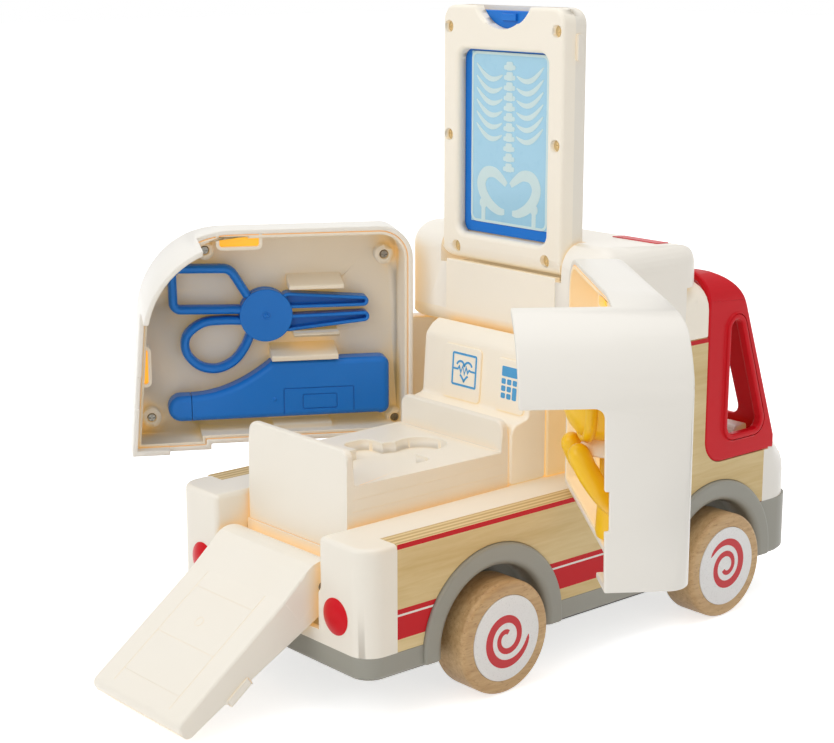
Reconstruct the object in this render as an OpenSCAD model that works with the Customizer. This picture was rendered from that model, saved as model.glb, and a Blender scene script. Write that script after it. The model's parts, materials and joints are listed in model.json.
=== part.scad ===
// Toy ambulance: wooden sided van with a folding ramp, two swinging rear shells,
// a fold-up viewer panel, a sliding bed and clip-in play tools.
// Frame: +X to the front, +Y to the vehicle's left, +Z up.
// Origin: middle of the chassis underside, midway between the axles.

/* [Body] */
// Width of the body across the plywood panels
body_w = 133.4; // [126:0.2:142]
// Rear face of the body behind the axle middle
rear_len = 141.8; // [138:0.2:150]
// Front face of the bumper ahead of the axle middle
front_len = 133; // [131:0.5:140]
// Radius of the rear upright corners
corner_r = 10; // [6:0.5:12]
// Radius of the front upright corners
nose_r = 16; // [10:0.5:20]
// Thickness of a plywood side panel
ply_t = 11; // [9:0.5:13]
// Height of the tall part of the plywood panel
ply_top = 115; // [112:0.5:118]
// Wall of the moulded body pieces
wall = 2.6; // [2:0.1:3]

/* [Chassis] */
// Height of the chassis underside above the ground
ride_h = 20; // [18:0.5:22]
// Thickness of the chassis floor
floor_t = 2.4; // [1.8:0.1:2.6]
// Top of the grey skirt
skirt_top = 10; // [9:0.5:12]
// Top of the front bumper
bumper_top = 28; // [24:0.5:30]
// Width of the wheel arch band
arch_band = 10; // [7:0.5:11]
// Stand-out of the wheel arches from the panels
arch_proud = 1.8; // [1:0.1:3]

/* [Wheels] */
// Distance between the axles
wheelbase = 142.5; // [138:0.5:146]
// Diameter of the wooden wheels
wheel_d = 50; // [48:0.5:52]
// Thickness of the wheels
wheel_t = 19; // [16:0.5:20]
// Stand-out of the wheels from the panels
wheel_out = 7.8; // [6:0.2:9]
// Diameter of the steel axles
axle_d = 4; // [3:0.2:4.4]
// Diameter of the white wheel plates
plate_d = 37.6; // [30:0.2:42]

/* [Deck and bed] */
// Height of the deck above the chassis underside
deck_z = 56; // [54:0.5:58]
// Height of the bed channel floor
channel_z = 43.2; // [43.2:0.2:45]
// Length of the bed
bed_len = 91.6; // [80:0.2:92]
// Width of the bed
bed_w = 69; // [64:0.5:71]
// Height of the bed from its foot to its lying face
bed_h = 28.5; // [24:0.5:32]
// Rise of the bed's end boards above the lying face
board_h = 16; // [10:0.5:20]
// Thickness of the end boards
board_t = 4; // [3:0.2:5]

/* [Ramp] */
// Length of the ramp from its hinge to its tip
ramp_len = 84.3; // [80:0.1:90]
// Width of the ramp
ramp_w = 65.2; // [60:0.2:66]
// Radius of the ramp's hinge barrel
barrel_r = 11; // [10:0.1:11]
// Slope of the lowered ramp
ramp_slope = 36.8; // [34:0.1:38]
// Taper between tread and underside
ramp_taper = 8.6; // [7:0.1:9]

/* [Rear shells] */
// Height of the roof above the chassis underside
roof_z = 162; // [158:0.5:166]
// Opening of the left shell as stored
left_open = 30; // [0:1:60]
// Opening of the right shell as stored
right_open = 53.7; // [0:0.1:60]
// Top of the door opening
door_top = 126; // [122:0.5:130]
// Radius of the curve from roof to rear wall
rear_r = 44; // [36:1:50]
// Lean of the rear wall
rear_lean = 4.7; // [0:0.1:6]
// Radius of the roof's long edges
roof_r = 12; // [8:0.5:14]

/* [Viewer panel] */
// Reach of the viewer panel above its hinge
panel_len = 109.5; // [104:0.5:112]
// Width of the viewer panel
panel_w = 78; // [74:0.2:79]
// Thickness of the viewer panel
panel_t = 15; // [13:0.2:16]
// Width of the viewer window
window_w = 58; // [50:0.5:60]
// Height of the frame above the viewer window
window_drop = 19.5; // [14:0.5:30]

/* [Play tools] */
// Thickness of the scissors
scissor_t = 9; // [7:0.2:11]
// Thickness of the thermometer
thermo_t = 13; // [10:0.2:15]
// Radius of the figure's head
head_r = 16.5; // [14:0.5:17]

/* [Hidden] */

// General fits
overrun = 1;
fit = 0.3;
seat = 0.1;
run = 0.06;
arc_steps = 16;
$fn = 64;

// Body levels
half_w = body_w / 2;
ply_in = half_w - ply_t;
deck_half = ply_in - seat;
block_len = 16.8;
ply_rear = rear_len - block_len;
cream = "#efe8da";
white = "#f1eee8";
grey = "#8f918c";
red = "#cf2130";
blue = "#2f78c8";
wood = "#d9bf85";

// Chassis
wheel_r = wheel_d / 2;
axle_r = axle_d / 2;
axle_z = wheel_r - ride_h;
axle_x = wheelbase / 2;
skirt_lift = 1;
skirt_wall = 3;
floor_inset = 1.5;
arch_gap = 5;
arch_in = wheel_r + arch_gap;
arch_out = arch_in + arch_band;
well_wall = 1.5;
well_gap = 1.5;
well_y = half_w + wheel_out - wheel_t - well_gap;
lug_len = 12;
lug_half = 5;
lug_top = axle_z + axle_r + wall;
bumper_x = axle_x + sqrt(arch_out * arch_out - (bumper_top - axle_z) * (bumper_top - axle_z));

// Wheels
wheel_edge = 2.5;
plate_t = 0.8;
plate_sink = 0.6;
axle_cover = 3;
wheel_face = half_w + wheel_out;

// Deck
deck_t = 2.5;
bed_gap = 1.8;
channel_half = bed_w / 2 + bed_gap;
bed_z = channel_z + fit;
lying_z = bed_z + bed_h;
deck_step = 0.5;
band_h = 5.5;
band_top = skirt_top + band_h;

// Ramp hinge
ramp_in = 4.8;
ramp_x = ramp_in - rear_len;
ramp_z = channel_z - barrel_r;
pin_r = 2;
tread_drop = 1.1;
tread_v = barrel_r - tread_drop;
tip_r = 3.6;
seam_share = 0.34;
ramp_lug_from = 49;
ramp_lug_to = 62;
ramp_lug_out = 1.5;
ramp_lug_h = 3.5;
ramp_lug_v = -0.5;
door_gap = 0.7;
ramp_half = ramp_w / 2;
door_half = ramp_half + door_gap;

// Shell hinge and tray
hinge_x = 3;
knuckle_r = 5.7;
hinge_y = half_w - knuckle_r;
hinge_r = 1.5;
shell_front = -8.5;
tray_gap = 4;
tab_gap = 1.2;
tray_z = deck_z + tray_gap;
tab_z = deck_z + tab_gap;
tab_len = 36;
skin = 2.4;
liner_t = 1.5;
liner_gap = 0.3;
front_r = 16;
rim_gap = 0.7;
rim_y = panel_w / 2 + rim_gap;
floor_gap = 1.4;
floor_y = half_w - skin - liner_gap - liner_t - floor_gap;
split_y = 1.5;
knuckle_depth = 2 * knuckle_r;
cap_bottom = ply_top;
knuckle_top = cap_bottom - deck_step;
pin_sink = 10;
door_r = 4;
boss_r = 4.6;
boss_h = 7;
screw_r = 2.2;
screw_h = 2;
spot_share = 0.72;
spot_in = 6.5;
spot_up = 5;
spot_rear = 10.5;

// Cap, with the cab measured back from the bumper
cab_len = 71;
cap_step = 4;
cap_rear = -7.5;
base_front = front_len - cab_len;
cap_front = base_front - cap_step;
deck_front = cap_front;
base_h = 8;
base_top = cap_bottom + base_h;
panel_r = panel_t / 2;
panel_z = roof_z - panel_r;
tongue_gap = 2;
tongue_top = panel_z - panel_r - tongue_gap;
tongue_t = 3.5;
notch_gap = 1;
notch_step = 4;
notch_half = panel_w / 2 + notch_gap;
tongue_half = notch_half - notch_step;
notch_front = panel_r + rim_gap;
cap_wall = 3;
cap_front_r = 14;
cap_rear_r = 10;
cap_drop = 2.5;
cab_roof_h = 17;
cab_roof_top = base_top + cab_roof_h;
cab_roof_len = 16;
cab_roof_rear = base_front - cab_roof_len;
frame_rear = base_front + fit;

// Red window frame
frame_bottom = 54;
frame_corner = 12;
frame_wall = 3.5;
frame_rise = 5;
frame_top = cab_roof_top + frame_rise;
nose_deep = 20;
frame_base_x = front_len - nose_deep;
frame_lip = 6.5;
frame_lean = 19.5;
frame_round = 28;
frame_edge_r = 15;
rim_w = 3;
rim_out = 1.2;
screen_half = 50;
screen_bottom = 68;
screen_top = 124;
nose_lap = 7;
nose_x = frame_base_x - nose_lap;
nose_top = 59;
dash_deep = 10;
nose_flat = 14;
nose_round = 18;

// Window corners of the red frame: reach behind the frame's foot, z and radius
pane_tops = [31.5, 117, 4];
pane_backs = [31, 71, 5];
pane_fronts = [16.5, 70.5, 4.5];

// Tower and console
tower_gap = 2.7;
tower_half = rim_y - tower_gap;
tower_rear = -11.5;
tower_front = 9.5;
console_depth = 21.4;
console_face = tower_rear - console_depth;
bed_front = console_face - deck_step;
bed_rear = bed_len - bed_front;
console_half = tower_half - overrun;
ledge_z = 83;
ledge_in = 2;
desk_x = -22.5;
desk_top_x = -20.5;
desk_z = 85;
desk_top_z = 113;
desk_back_z = 119.5;
pad_t = 1.2;
pad_corner = 2;
monitor_side = 25;
monitor_y = 8.5;
keypad_w = 18;
keypad_h = 24;
keypad_y = -24;
pad_foot = 0.6;

// Lamps
lamp_r = 8.2;
lamp_h = 2.6;
tail_y = half_w - corner_r - lamp_r - overrun;
tail_z = 24.3;
head_lamp_r = 6.5;
head_lamp_y = half_w - nose_r - 2 * head_lamp_r;
head_lamp_z = bumper_top + head_lamp_r + deck_step;

// Viewer panel
slot_half = 31.8;
slot_t = 2.3;
slot_foot = 6;
film_sink = 2;
film_top = panel_z + panel_len - film_sink;
film_foot = panel_z + slot_foot;
holder_half = slot_half - fit;
holder_t = slot_t - fit;
film_w = 50;
film_t = 0.6;
film_lift = 5;
film_drop = 18.5;
film_z = film_foot + film_lift;
film_h = film_top - film_drop - film_z;
window_lift = 5.5;
window_z = panel_z + window_lift;
window_h = panel_len - window_drop - window_lift;
screw_edge = 4;
screw_drop = 10.2;
screw_foot = 2.1;
foot_in = 9.7;
screw_rows = [panel_len - screw_drop, panel_len / 2 - screw_edge, -screw_foot];
screw_halves = [panel_w / 2 - screw_edge, panel_w / 2 - screw_edge, panel_w / 2 - foot_in];
panel_screw_r = 1.9;
panel_screw_deep = 4;
panel_corner = 7;
thumb_r = 20;
thumb_up = 10;
panel_lug = 1.6;
panel_lug_len = 11;
panel_lug_to = panel_len - panel_lug_len;
panel_lug_from = panel_lug_to - panel_lug_len;
panel_lug_x = 3;
socket_gap = 1;

// Tools in the left tray: places in the shell's side view, x and z
tool_y = floor_y - fit;
loop_back = 18.3;
loop_reach = 10.6;
ring_reach = 24.1;
blade_front = 20.5;
pivot_share = 0.4878;
loop_x0 = loop_back - rear_len;
blade_tip_x = shell_front - blade_front;
pivot_x = loop_x0 + (blade_tip_x - loop_x0) * pivot_share;
pivot_z = 118.6;
pivot_r = 12.7;
rivet_r = 2.4;
arm_w = 5.5;
loop_x1 = pivot_x - loop_reach;
loop_z0 = 119.5;
loop_z1 = 144;
ring_x = pivot_x - ring_reach;
ring_z = 104;
ring_r = 15;
ring_stretch = 1.12;
blade_up_z = 125.2;
blade_low_z = 116.8;
blade_r = 3.5;
blade_root = 3.3;
blade_spread = 4;
clip_t = 2;
clip_h = 14;
clip_gap = 2.8;
thermo_back = 16.8;
thermo_front = 10;
thermo_cap = 11;
neck_share = 0.4695;
thermo_x0 = thermo_back - rear_len;
thermo_x1 = shell_front - thermo_front;
thermo_z0 = 66;
thermo_z1 = 97;
thermo_tip_r = 6.2;
thermo_cap_x = thermo_x0 + thermo_cap;
thermo_neck_x = thermo_x0 + (thermo_x1 - thermo_x0) * neck_share;
thermo_corner = 4;
thermo_gap = 0.2;

// Figure in the right tray, its sizes as shares of the head
figure_back = 41.8;
figure_x = figure_back - rear_len;
figure_y = floor_y - fit;
figure_foot = tray_z + skin + liner_gap + liner_t + fit;
trunk_share = 0.68;
waist_share = 0.6;
trunk_h = 38;
collar_h = 4;
collar_share = 0.72;
limb_share = 0.33;
limb_len = 24;
limb_lean = 26;
neck_sink = 3;

// Red mark on the roof
mark_back = 22;
mark_x = cap_front - mark_back;
mark_y = -43;
mark_l = 8;
mark_w = 27;
mark_t = 0.4;

function arc(cx, cy, r, from, to) = [
    for (i = [0:arc_steps])
        [cx + r * cos(from + (to - from) * i / arc_steps), cy + r * sin(from + (to - from) * i / arc_steps)]
];

// Extrude a side view (x, z) across from one side to the other
module along_y(from, to) {
    translate([0, to, 0])
        rotate([90, 0, 0])
            linear_extrude(to - from)
                children();
}

// Extrude a rear view (y, z) along the vehicle
module along_x(from, to) {
    translate([from, 0, 0])
        rotate([90, 0, 90])
            linear_extrude(to - from)
                children();
}

module span(x0, x1, y0, y1, z0, z1) {
    translate([x0, y0, z0])
        cube([x1 - x0, y1 - y0, z1 - z0]);
}

module round_rect(w, h, r) {
    square([w - 2 * r, h], center = true);
    square([w, h - 2 * r], center = true);
    for (sx = [-1, 1], sy = [-1, 1])
        translate([sx * (w / 2 - r), sy * (h / 2 - r)])
            circle(r);
}

module rod_y(x, z, r, from, to) {
    translate([x, from, z])
        rotate([-90, 0, 0])
            cylinder(r = r, h = to - from);
}

module rod_x(y, z, r, from, to) {
    translate([from, y, z])
        rotate([0, 90, 0])
            cylinder(r = r, h = to - from);
}

// Outline of the whole body seen from above
function body_plan(inset) = concat(
    arc(corner_r - rear_len, corner_r - half_w, corner_r - inset, 180, 270),
    arc(front_len - nose_r, nose_r - half_w, nose_r - inset, 270, 360),
    arc(front_len - nose_r, half_w - nose_r, nose_r - inset, 0, 90),
    arc(corner_r - rear_len, half_w - corner_r, corner_r - inset, 90, 180));

module skirt_ring(z0, z1) {
    translate([0, 0, z0])
        linear_extrude(z1 - z0)
            difference() {
                polygon(body_plan(0));
                polygon(body_plan(skirt_wall));
            }
}

// Half ring of a wheel arch about the axle, cut off at the skirt's foot
module arch_view(r_in, r_out) {
    difference() {
        circle(r_out);
        circle(r_in);
        translate([-r_out - overrun, -r_out - overrun])
            square([2 * (r_out + overrun), r_out + overrun + skirt_lift - axle_z]);
    }
}

module chassis() {
    color(grey)
        difference() {
            union() {
                linear_extrude(floor_t)
                    polygon(body_plan(floor_inset));
                difference() {
                    union() {
                        skirt_ring(skirt_lift, skirt_top);
                        intersection() {
                            skirt_ring(skirt_top, bumper_top);
                            span(bumper_x, front_len + overrun, -half_w - overrun,
                                half_w + overrun, 0, bumper_top);
                        }
                    }
                    for (ax = [-axle_x, axle_x])
                        rod_y(ax, axle_z, arch_in, -half_w - overrun, half_w + overrun);
                }
                for (ax = [-axle_x, axle_x])
                    chassis_axle_seat(ax);
            }
            for (ax = [-axle_x, axle_x]) {
                wheel_well_cut(ax);
                rod_y(ax, axle_z, axle_r + run, -half_w, half_w);
            }
        }
}

module chassis_axle_seat(ax) {
    for (side = [0, 1])
        mirror([0, side, 0]) {
            translate([ax, 0, axle_z]) {
                along_y(ply_in + seat, half_w + arch_proud)
                    arch_view(arch_in, arch_out);
                along_y(well_y - well_wall, half_w)
                    arch_view(arch_in, arch_in + well_wall);
                along_y(well_y - well_wall, well_y)
                    arch_view(0, arch_in + well_wall);
            }
            span(ax - lug_half, ax + lug_half, well_y - well_wall - lug_len, well_y - well_wall, 0,
                lug_top);
        }
}

module wheel_well_cut(ax) {
    for (side = [0, 1])
        mirror([0, side, 0])
            span(ax - arch_in, ax + arch_in, well_y, half_w + wheel_out, -overrun, axle_z);
}

// Side view of a plywood panel
module ply_view() {
    difference() {
        union() {
            translate([-ply_rear, skirt_top])
                square([ply_rear + nose_x, deck_z - skirt_top]);
            translate([hinge_x + knuckle_r + rim_gap, skirt_top])
                square([nose_x - hinge_x - knuckle_r - rim_gap, ply_top - skirt_top]);
        }
        for (ax = [-axle_x, axle_x])
            translate([ax, axle_z])
                circle(arch_out + seat);
        polygon(frame_seat());
        translate([axle_x, skirt_top - overrun])
            square([nose_x, bumper_top - skirt_top + overrun + seat]);
    }
}

// Corner of the side view that the red window frame fills
function frame_seat() = concat(
    arc(frame_rear + frame_corner, frame_bottom + frame_corner, frame_corner + seat, 180, 270),
    [[front_len, frame_bottom - seat], [front_len, ply_top + overrun], [frame_rear - seat,
        ply_top + overrun]]);

module ply_panel() {
    difference() {
        along_y(ply_in, half_w)
            ply_view();
        translate([hinge_x, hinge_y, deck_z - pin_sink])
            cylinder(r = hinge_r + seat / 4, h = pin_sink + overrun);
    }
}

module ply_left() {
    color(wood)
        ply_panel();
}

module ply_right() {
    color(wood)
        mirror([0, 1, 0])
            ply_panel();
}

module rear_block() {
    difference() {
        intersection() {
            translate([0, 0, skirt_top])
                linear_extrude(deck_z - skirt_top)
                    polygon(body_plan(0));
            span(-rear_len, -ply_rear, channel_half, half_w, skirt_top, deck_z);
        }
        span(skirt_wall - rear_len, -ply_rear - wall, channel_half + skirt_wall, half_w - corner_r,
            skirt_top - overrun, deck_z - wall);
    }
}

// Room round the wheel arches, where a short body would reach into them
module arch_room() {
    for (ax = [-axle_x, axle_x], side = [0, 1])
        mirror([0, side, 0])
            rod_y(ax, axle_z, arch_out + seat, well_y - well_wall, half_w + overrun);
}

module rear_body() {
    color(cream)
        difference() {
            union() {
                for (side = [0, 1])
                    mirror([0, side, 0]) {
                        rear_block();
                        span(-ply_rear - overrun, deck_front, channel_half, deck_half,
                            deck_z - deck_t, deck_z);
                        span(-ply_rear - overrun, console_face, channel_half, channel_half + deck_t,
                            channel_z - deck_t, deck_z);
                    }
                span(deck_step - ply_rear, console_face + deck_t, -channel_half - deck_t,
                    channel_half + deck_t,
                    channel_z - deck_t, channel_z);
                span(console_face, console_face + deck_t, -channel_half - deck_t, channel_half + deck_t,
                    channel_z - deck_t, deck_z);
                span(console_face, deck_front, -channel_half - deck_t, channel_half + deck_t,
                    deck_z - deck_t, deck_z);
                span(-rear_len, skirt_wall - rear_len, -channel_half - overrun, channel_half + overrun,
                    skirt_top, band_top);
            }
            rod_y(ramp_x, ramp_z, pin_r + seat / 2, -channel_half - skirt_wall, channel_half + skirt_wall);
            arch_room();
        }
}

// Shallow dome of a lamp, its flat back at the origin and its crown along +Z
module lamp(r, h) {
    dome_r = (r * r + h * h) / (2 * h);
    intersection() {
        cylinder(r = r, h = h);
        translate([0, 0, h - dome_r])
            sphere(r = dome_r);
    }
}

module tail_light(side) {
    color(red)
        translate([-rear_len, side * tail_y, tail_z])
            rotate([0, -90, 0])
                lamp(lamp_r, lamp_h);
}

module tail_light_left() {
    tail_light(1);
}

module tail_light_right() {
    tail_light(-1);
}

module headlight(side) {
    color(white)
        translate([front_len, side * head_lamp_y, head_lamp_z])
            rotate([0, 90, 0])
                lamp(head_lamp_r, lamp_h);
}

module headlight_left() {
    headlight(1);
}

module headlight_right() {
    headlight(-1);
}

module console() {
    color(cream)
        difference() {
            along_y(-console_half, console_half)
                polygon([
                    [console_face, deck_z],
                    [console_face, ledge_z - 2 * ledge_in],
                    [console_face + ledge_in, ledge_z],
                    [desk_x, desk_z],
                    [desk_top_x, desk_top_z],
                    [desk_top_x + 2 * ledge_in, desk_top_z + 2 * ledge_in],
                    [tower_rear - seat, desk_back_z],
                    [tower_rear - seat, deck_z]
                ]);
            span(console_face + wall, tower_rear, wall - console_half, console_half - wall,
                deck_z - overrun, ledge_z - wall - ledge_in);
        }
}

// Raised pad on the console's leaning face
module console_pad(y, z, w, h) {
    lean = atan2(desk_top_x - desk_x, desk_top_z - desk_z);
    color(cream)
        translate([desk_x, y, desk_z])
            rotate([0, lean, 0])
                translate([-pad_t, 0, z])
                    rotate([90, 0, 90])
                        linear_extrude(pad_t)
                            round_rect(w, h, pad_corner);
}

module monitor_pad() {
    console_pad(monitor_y, pad_foot + monitor_side / 2, monitor_side, monitor_side);
}

module keypad_pad() {
    console_pad(keypad_y, pad_foot + keypad_h / 2, keypad_w, keypad_h);
}

module tower() {
    color(cream)
        union() {
            difference() {
                span(tower_rear, tower_front, -tower_half, tower_half, deck_z, cap_bottom);
                span(tower_rear + wall, tower_front + overrun, wall - tower_half, tower_half - wall,
                    deck_z - overrun, cap_bottom + overrun);
            }
            span(tower_front, tower_front + wall, -deck_half, deck_half, deck_z, cap_bottom);
        }
}

// Rounded block outline seen from above, for the roof cap and its base
function cap_plan(front, inset) = concat(
    arc(cap_rear + roof_r, roof_r - half_w, roof_r - inset, 180, 270),
    arc(front - roof_r, roof_r - half_w, roof_r - inset, 270, 360),
    arc(front - roof_r, half_w - roof_r, roof_r - inset, 0, 90),
    arc(cap_rear + roof_r, half_w - roof_r, roof_r - inset, 90, 180));

// Rear view with both top edges rounded
function arch_top(half, z0, z1, r, inset) = concat(
    [[half - inset, z0]],
    arc(half - r, z1 - r, r - inset, 0, 90),
    arc(r - half, z1 - r, r - inset, 90, 180),
    [[inset - half, z0]]);

// Rear view with both bottom edges rounded
function arch_bottom(half, z0, z1, r) = concat(
    [[-half, z1]],
    arc(r - half, z0 + r, r, 180, 270),
    arc(half - r, z0 + r, r, 270, 360),
    [[half, z1]]);

module cap_base() {
    color(white)
        difference() {
            union() {
                intersection() {
                    translate([0, 0, cap_bottom])
                        linear_extrude(cab_roof_top - cap_bottom)
                            polygon(cap_plan(base_front, 0));
                    union() {
                        along_x(cap_rear, base_front)
                            polygon(arch_bottom(half_w, cap_bottom, base_top, base_h - overrun));
                        along_x(cab_roof_rear, base_front)
                            polygon(arch_top(half_w, base_top - overrun, cab_roof_top, roof_r, 0));
                    }
                }
                span(cap_rear, cap_rear + tongue_t, -tongue_half, tongue_half, cap_bottom, tongue_top);
            }
            span(cap_rear + tongue_t, cab_roof_rear - wall, knuckle_depth + cap_wall - half_w,
                half_w - knuckle_depth - cap_wall, cap_bottom + wall, base_top + overrun);
            span(cab_roof_rear + wall, base_front - cap_wall, cap_wall + roof_r - half_w,
                half_w - roof_r - cap_wall,
                cap_bottom - overrun, cab_roof_top - cap_wall);
            for (side = [-1, 1])
                translate([hinge_x, side * hinge_y, cap_bottom - overrun])
                    cylinder(r = hinge_r + seat / 4, h = base_h);
        }
}

// Side view of the roof cap
function cap_side(inset, foot) = concat(
    [[cap_rear + inset, base_top - foot]],
    [[cap_front - inset, base_top - foot]],
    arc(cap_front - cap_front_r, roof_z - cap_drop - cap_front_r, cap_front_r - inset, 0, 90),
    arc(cap_rear + cap_rear_r, roof_z - cap_rear_r, cap_rear_r - inset, 90, 180));

module cap_form(inset, foot) {
    intersection() {
        along_y(-half_w - overrun, half_w + overrun)
            polygon(cap_side(inset, foot));
        along_x(cap_rear - overrun, cap_front + overrun)
            polygon(arch_top(half_w, base_top - foot, roof_z, roof_r, inset));
        translate([0, 0, base_top - foot])
            linear_extrude(roof_z)
                polygon(cap_plan(cap_front, inset));
    }
}

module roof_cap() {
    color(white)
        difference() {
            cap_form(0, 0);
            difference() {
                cap_form(cap_wall, overrun);
                span(cap_rear, notch_front + cap_wall, -notch_half - cap_wall,
                    notch_half + cap_wall, base_top, roof_z);
            }
            span(cab_roof_rear - seat, cap_front + overrun, -half_w, half_w, base_top - overrun,
                cab_roof_top + seat);
            span(cap_rear - overrun, notch_front, -tongue_half - seat, tongue_half + seat,
                base_top - overrun, roof_z);
            span(cap_rear - overrun, notch_front, -notch_half, notch_half, tongue_top, roof_z + overrun);
            rod_y(0, panel_z, hinge_r + seat / 4, -notch_half - cap_wall, notch_half + cap_wall);
        }
}

module roof_mark() {
    color(red)
        intersection() {
            difference() {
                cap_form(-mark_t, 0);
                cap_form(0, overrun);
            }
            span(mark_x, mark_x + mark_l, mark_y - mark_w / 2, mark_y + mark_w / 2, panel_z,
                roof_z + overrun);
        }
}

// Side view of the red window frame
function frame_side(inset, back) = concat(
    arc(frame_rear + frame_corner, frame_bottom + frame_corner, frame_corner + back, 180, 270),
    [[frame_base_x - inset, frame_bottom - back], [frame_base_x - inset, frame_bottom + frame_lip]],
    frame_curve(inset),
    [[frame_rear - back, frame_top - inset]]);

// Curve from the leaning windscreen to the roof
function frame_curve(inset) = arc(frame_curve_x(), frame_top - frame_round, frame_round - inset,
    frame_lean, 90);

function frame_curve_x() = frame_base_x - frame_round * cos(frame_lean)
    - (frame_top - frame_round - frame_bottom - frame_lip + frame_round * sin(frame_lean)) * tan(frame_lean);

module frame_form(inset, back) {
    intersection() {
        along_y(-half_w, half_w)
            polygon(frame_side(inset, back));
        along_x(frame_rear - back, front_len)
            polygon(arch_top(half_w, frame_bottom - back, frame_top, frame_edge_r, inset));
    }
}

// Rounded side window of the red frame, grown by a margin
module pane_view(grow) {
    hull()
        for (corner = [pane_tops, pane_backs, pane_fronts])
            translate([frame_base_x - corner[0], corner[1]])
                circle(r = corner[2] + grow, $fn = 32);
}

module window_frame() {
    color(red)
        difference() {
            union() {
                frame_form(0, 0);
                along_y(-half_w - rim_out, half_w + rim_out)
                    pane_view(rim_w);
            }
            frame_form(frame_wall, overrun);
            along_y(-half_w - 2 * rim_out, half_w + 2 * rim_out)
                pane_view(0);
            along_x(frame_rear + screen_half / 3, front_len)
                translate([0, (screen_bottom + screen_top) / 2])
                    round_rect(2 * screen_half, screen_top - screen_bottom, frame_lip);
        }
}

// Side view of the white nose
function nose_side(inset, back) = concat(
    [[nose_x - back, bumper_top - back], [front_len - inset, bumper_top - back]],
    arc(front_len - nose_round, bumper_top + nose_flat, nose_round - inset, 0, 75),
    [[frame_base_x + seat, nose_top - inset], [frame_base_x + seat, frame_bottom - seat - inset],
    [nose_x - back, frame_bottom - seat - inset]]);

module nose_form(inset, back) {
    intersection() {
        along_y(-half_w, half_w)
            polygon(nose_side(inset, back));
        translate([0, 0, bumper_top - overrun])
            linear_extrude(roof_z)
                polygon(body_plan(inset));
    }
}

module nose() {
    color(white)
        difference() {
            nose_form(0, 0);
            nose_form(cap_wall, overrun);
            arch_room();
        }
}

module dash() {
    dash_h = 11;
    dash_x = nose_x - dash_deep;
    color(white)
        along_y(seat - deck_half, deck_half - seat)
            polygon([
                [deck_front + seat, frame_bottom - deck_t],
                [nose_x, frame_bottom - deck_t],
                [nose_x, frame_bottom + dash_h],
                [dash_x + ledge_in, frame_bottom + dash_h],
                [dash_x, frame_bottom + dash_h - ledge_in],
                [dash_x, frame_bottom],
                [deck_front + seat, frame_bottom]
            ]);
}

module cab_back() {
    color(white)
        span(deck_front + seat, deck_front + wall, -deck_half, deck_half, frame_bottom, cap_bottom);
}

module axle(ax) {
    color("silver")
        rod_y(ax, axle_z, axle_r, axle_cover - wheel_face, wheel_face - axle_cover);
}

module axle_front() {
    axle(axle_x);
}

module axle_rear() {
    axle(-axle_x);
}

// Wooden wheel about +Z, its inner face at the origin
module wheel_form() {
    difference() {
        rotate_extrude()
            polygon(concat(
                [[0, 0]],
                arc(wheel_r - wheel_edge, wheel_edge, wheel_edge, 270, 360),
                arc(wheel_r - wheel_edge, wheel_t - wheel_edge, wheel_edge, 0, 90),
                [[0, wheel_t]]));
        translate([0, 0, -overrun])
            cylinder(r = axle_r + seat / 4, h = wheel_t - axle_cover + overrun + seat);
        translate([0, 0, wheel_t - plate_sink])
            cylinder(r = plate_d / 2 + seat, h = wheel_t);
    }
}

// Place a form that turns about +Z at one wheel, facing outwards
module at_wheel(ax, side) {
    mirror([0, side < 0 ? 1 : 0, 0])
        translate([ax, wheel_face - wheel_t, axle_z])
            rotate([-90, 0, 0])
                children();
}

module wheel(ax, side) {
    color(wood)
        at_wheel(ax, side)
            wheel_form();
}

module wheel_plate(ax, side) {
    color(white)
        at_wheel(ax, side)
            translate([0, 0, wheel_t - plate_sink])
                cylinder(r = plate_d / 2, h = plate_t);
}

// Ramp: its own view has the hinge at the origin, u along the ramp and v out of the tread
module ramp_pose() {
    translate([ramp_x, 0, ramp_z])
        rotate([0, -ramp_slope, 0])
            children();
}

// Outline with the barrel left out; u runs towards -X
function ramp_outline() = concat(
    [[0, tread_v]],
    [[-barrel_r * sin(ramp_taper), -barrel_r * cos(ramp_taper)]],
    arc(tip_r - ramp_len, ramp_tip_v() + tip_r / cos(ramp_taper), tip_r, 270 - ramp_taper, 180),
    arc(tip_r - ramp_len, tread_v - tip_r, tip_r, 180, 90));

// Level of the underside at the tip's rounding
function ramp_tip_v() = -barrel_r / cos(ramp_taper) + (ramp_len - tip_r) * tan(ramp_taper);

// Side of the seam that belongs to the tread half
module tread_side() {
    polygon([
        [barrel_r, -barrel_r * seam_share],
        [-ramp_len - overrun, tread_v - 2 * tip_r],
        [-ramp_len - overrun, 2 * tread_v],
        [barrel_r, 2 * tread_v]
    ]);
}

module ramp_hollow() {
    along_y(wall - ramp_half, ramp_half - wall)
        polygon([
            [-barrel_r - wall, tread_v - wall],
            [-barrel_r - wall, 2 * wall - barrel_r],
            [wall + tip_r - ramp_len, tread_v - wall]
        ]);
}

module ramp_tread() {
    color(cream)
        ramp_pose()
            difference() {
                along_y(-ramp_half, ramp_half)
                    difference() {
                        intersection() {
                            polygon(ramp_outline());
                            tread_side();
                        }
                        circle(barrel_r + seat);
                    }
                ramp_hollow();
            }
}

module ramp_underside() {
    color(cream)
        ramp_pose()
            difference() {
                union() {
                    along_y(-ramp_half, ramp_half)
                        union() {
                            difference() {
                                polygon(ramp_outline());
                                tread_side();
                            }
                            circle(barrel_r);
                        }
                    for (side = [0, 1])
                        mirror([0, side, 0])
                            span(-ramp_lug_to, -ramp_lug_from, ramp_half - seat, ramp_half + ramp_lug_out,
                                ramp_lug_v - ramp_lug_h, ramp_lug_v);
                }
                difference() {
                    ramp_hollow();
                    along_y(-ramp_half, ramp_half)
                        circle(barrel_r);
                }
                rod_y(0, 0, pin_r + run, -ramp_half - overrun, ramp_half + overrun);
            }
}

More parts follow.
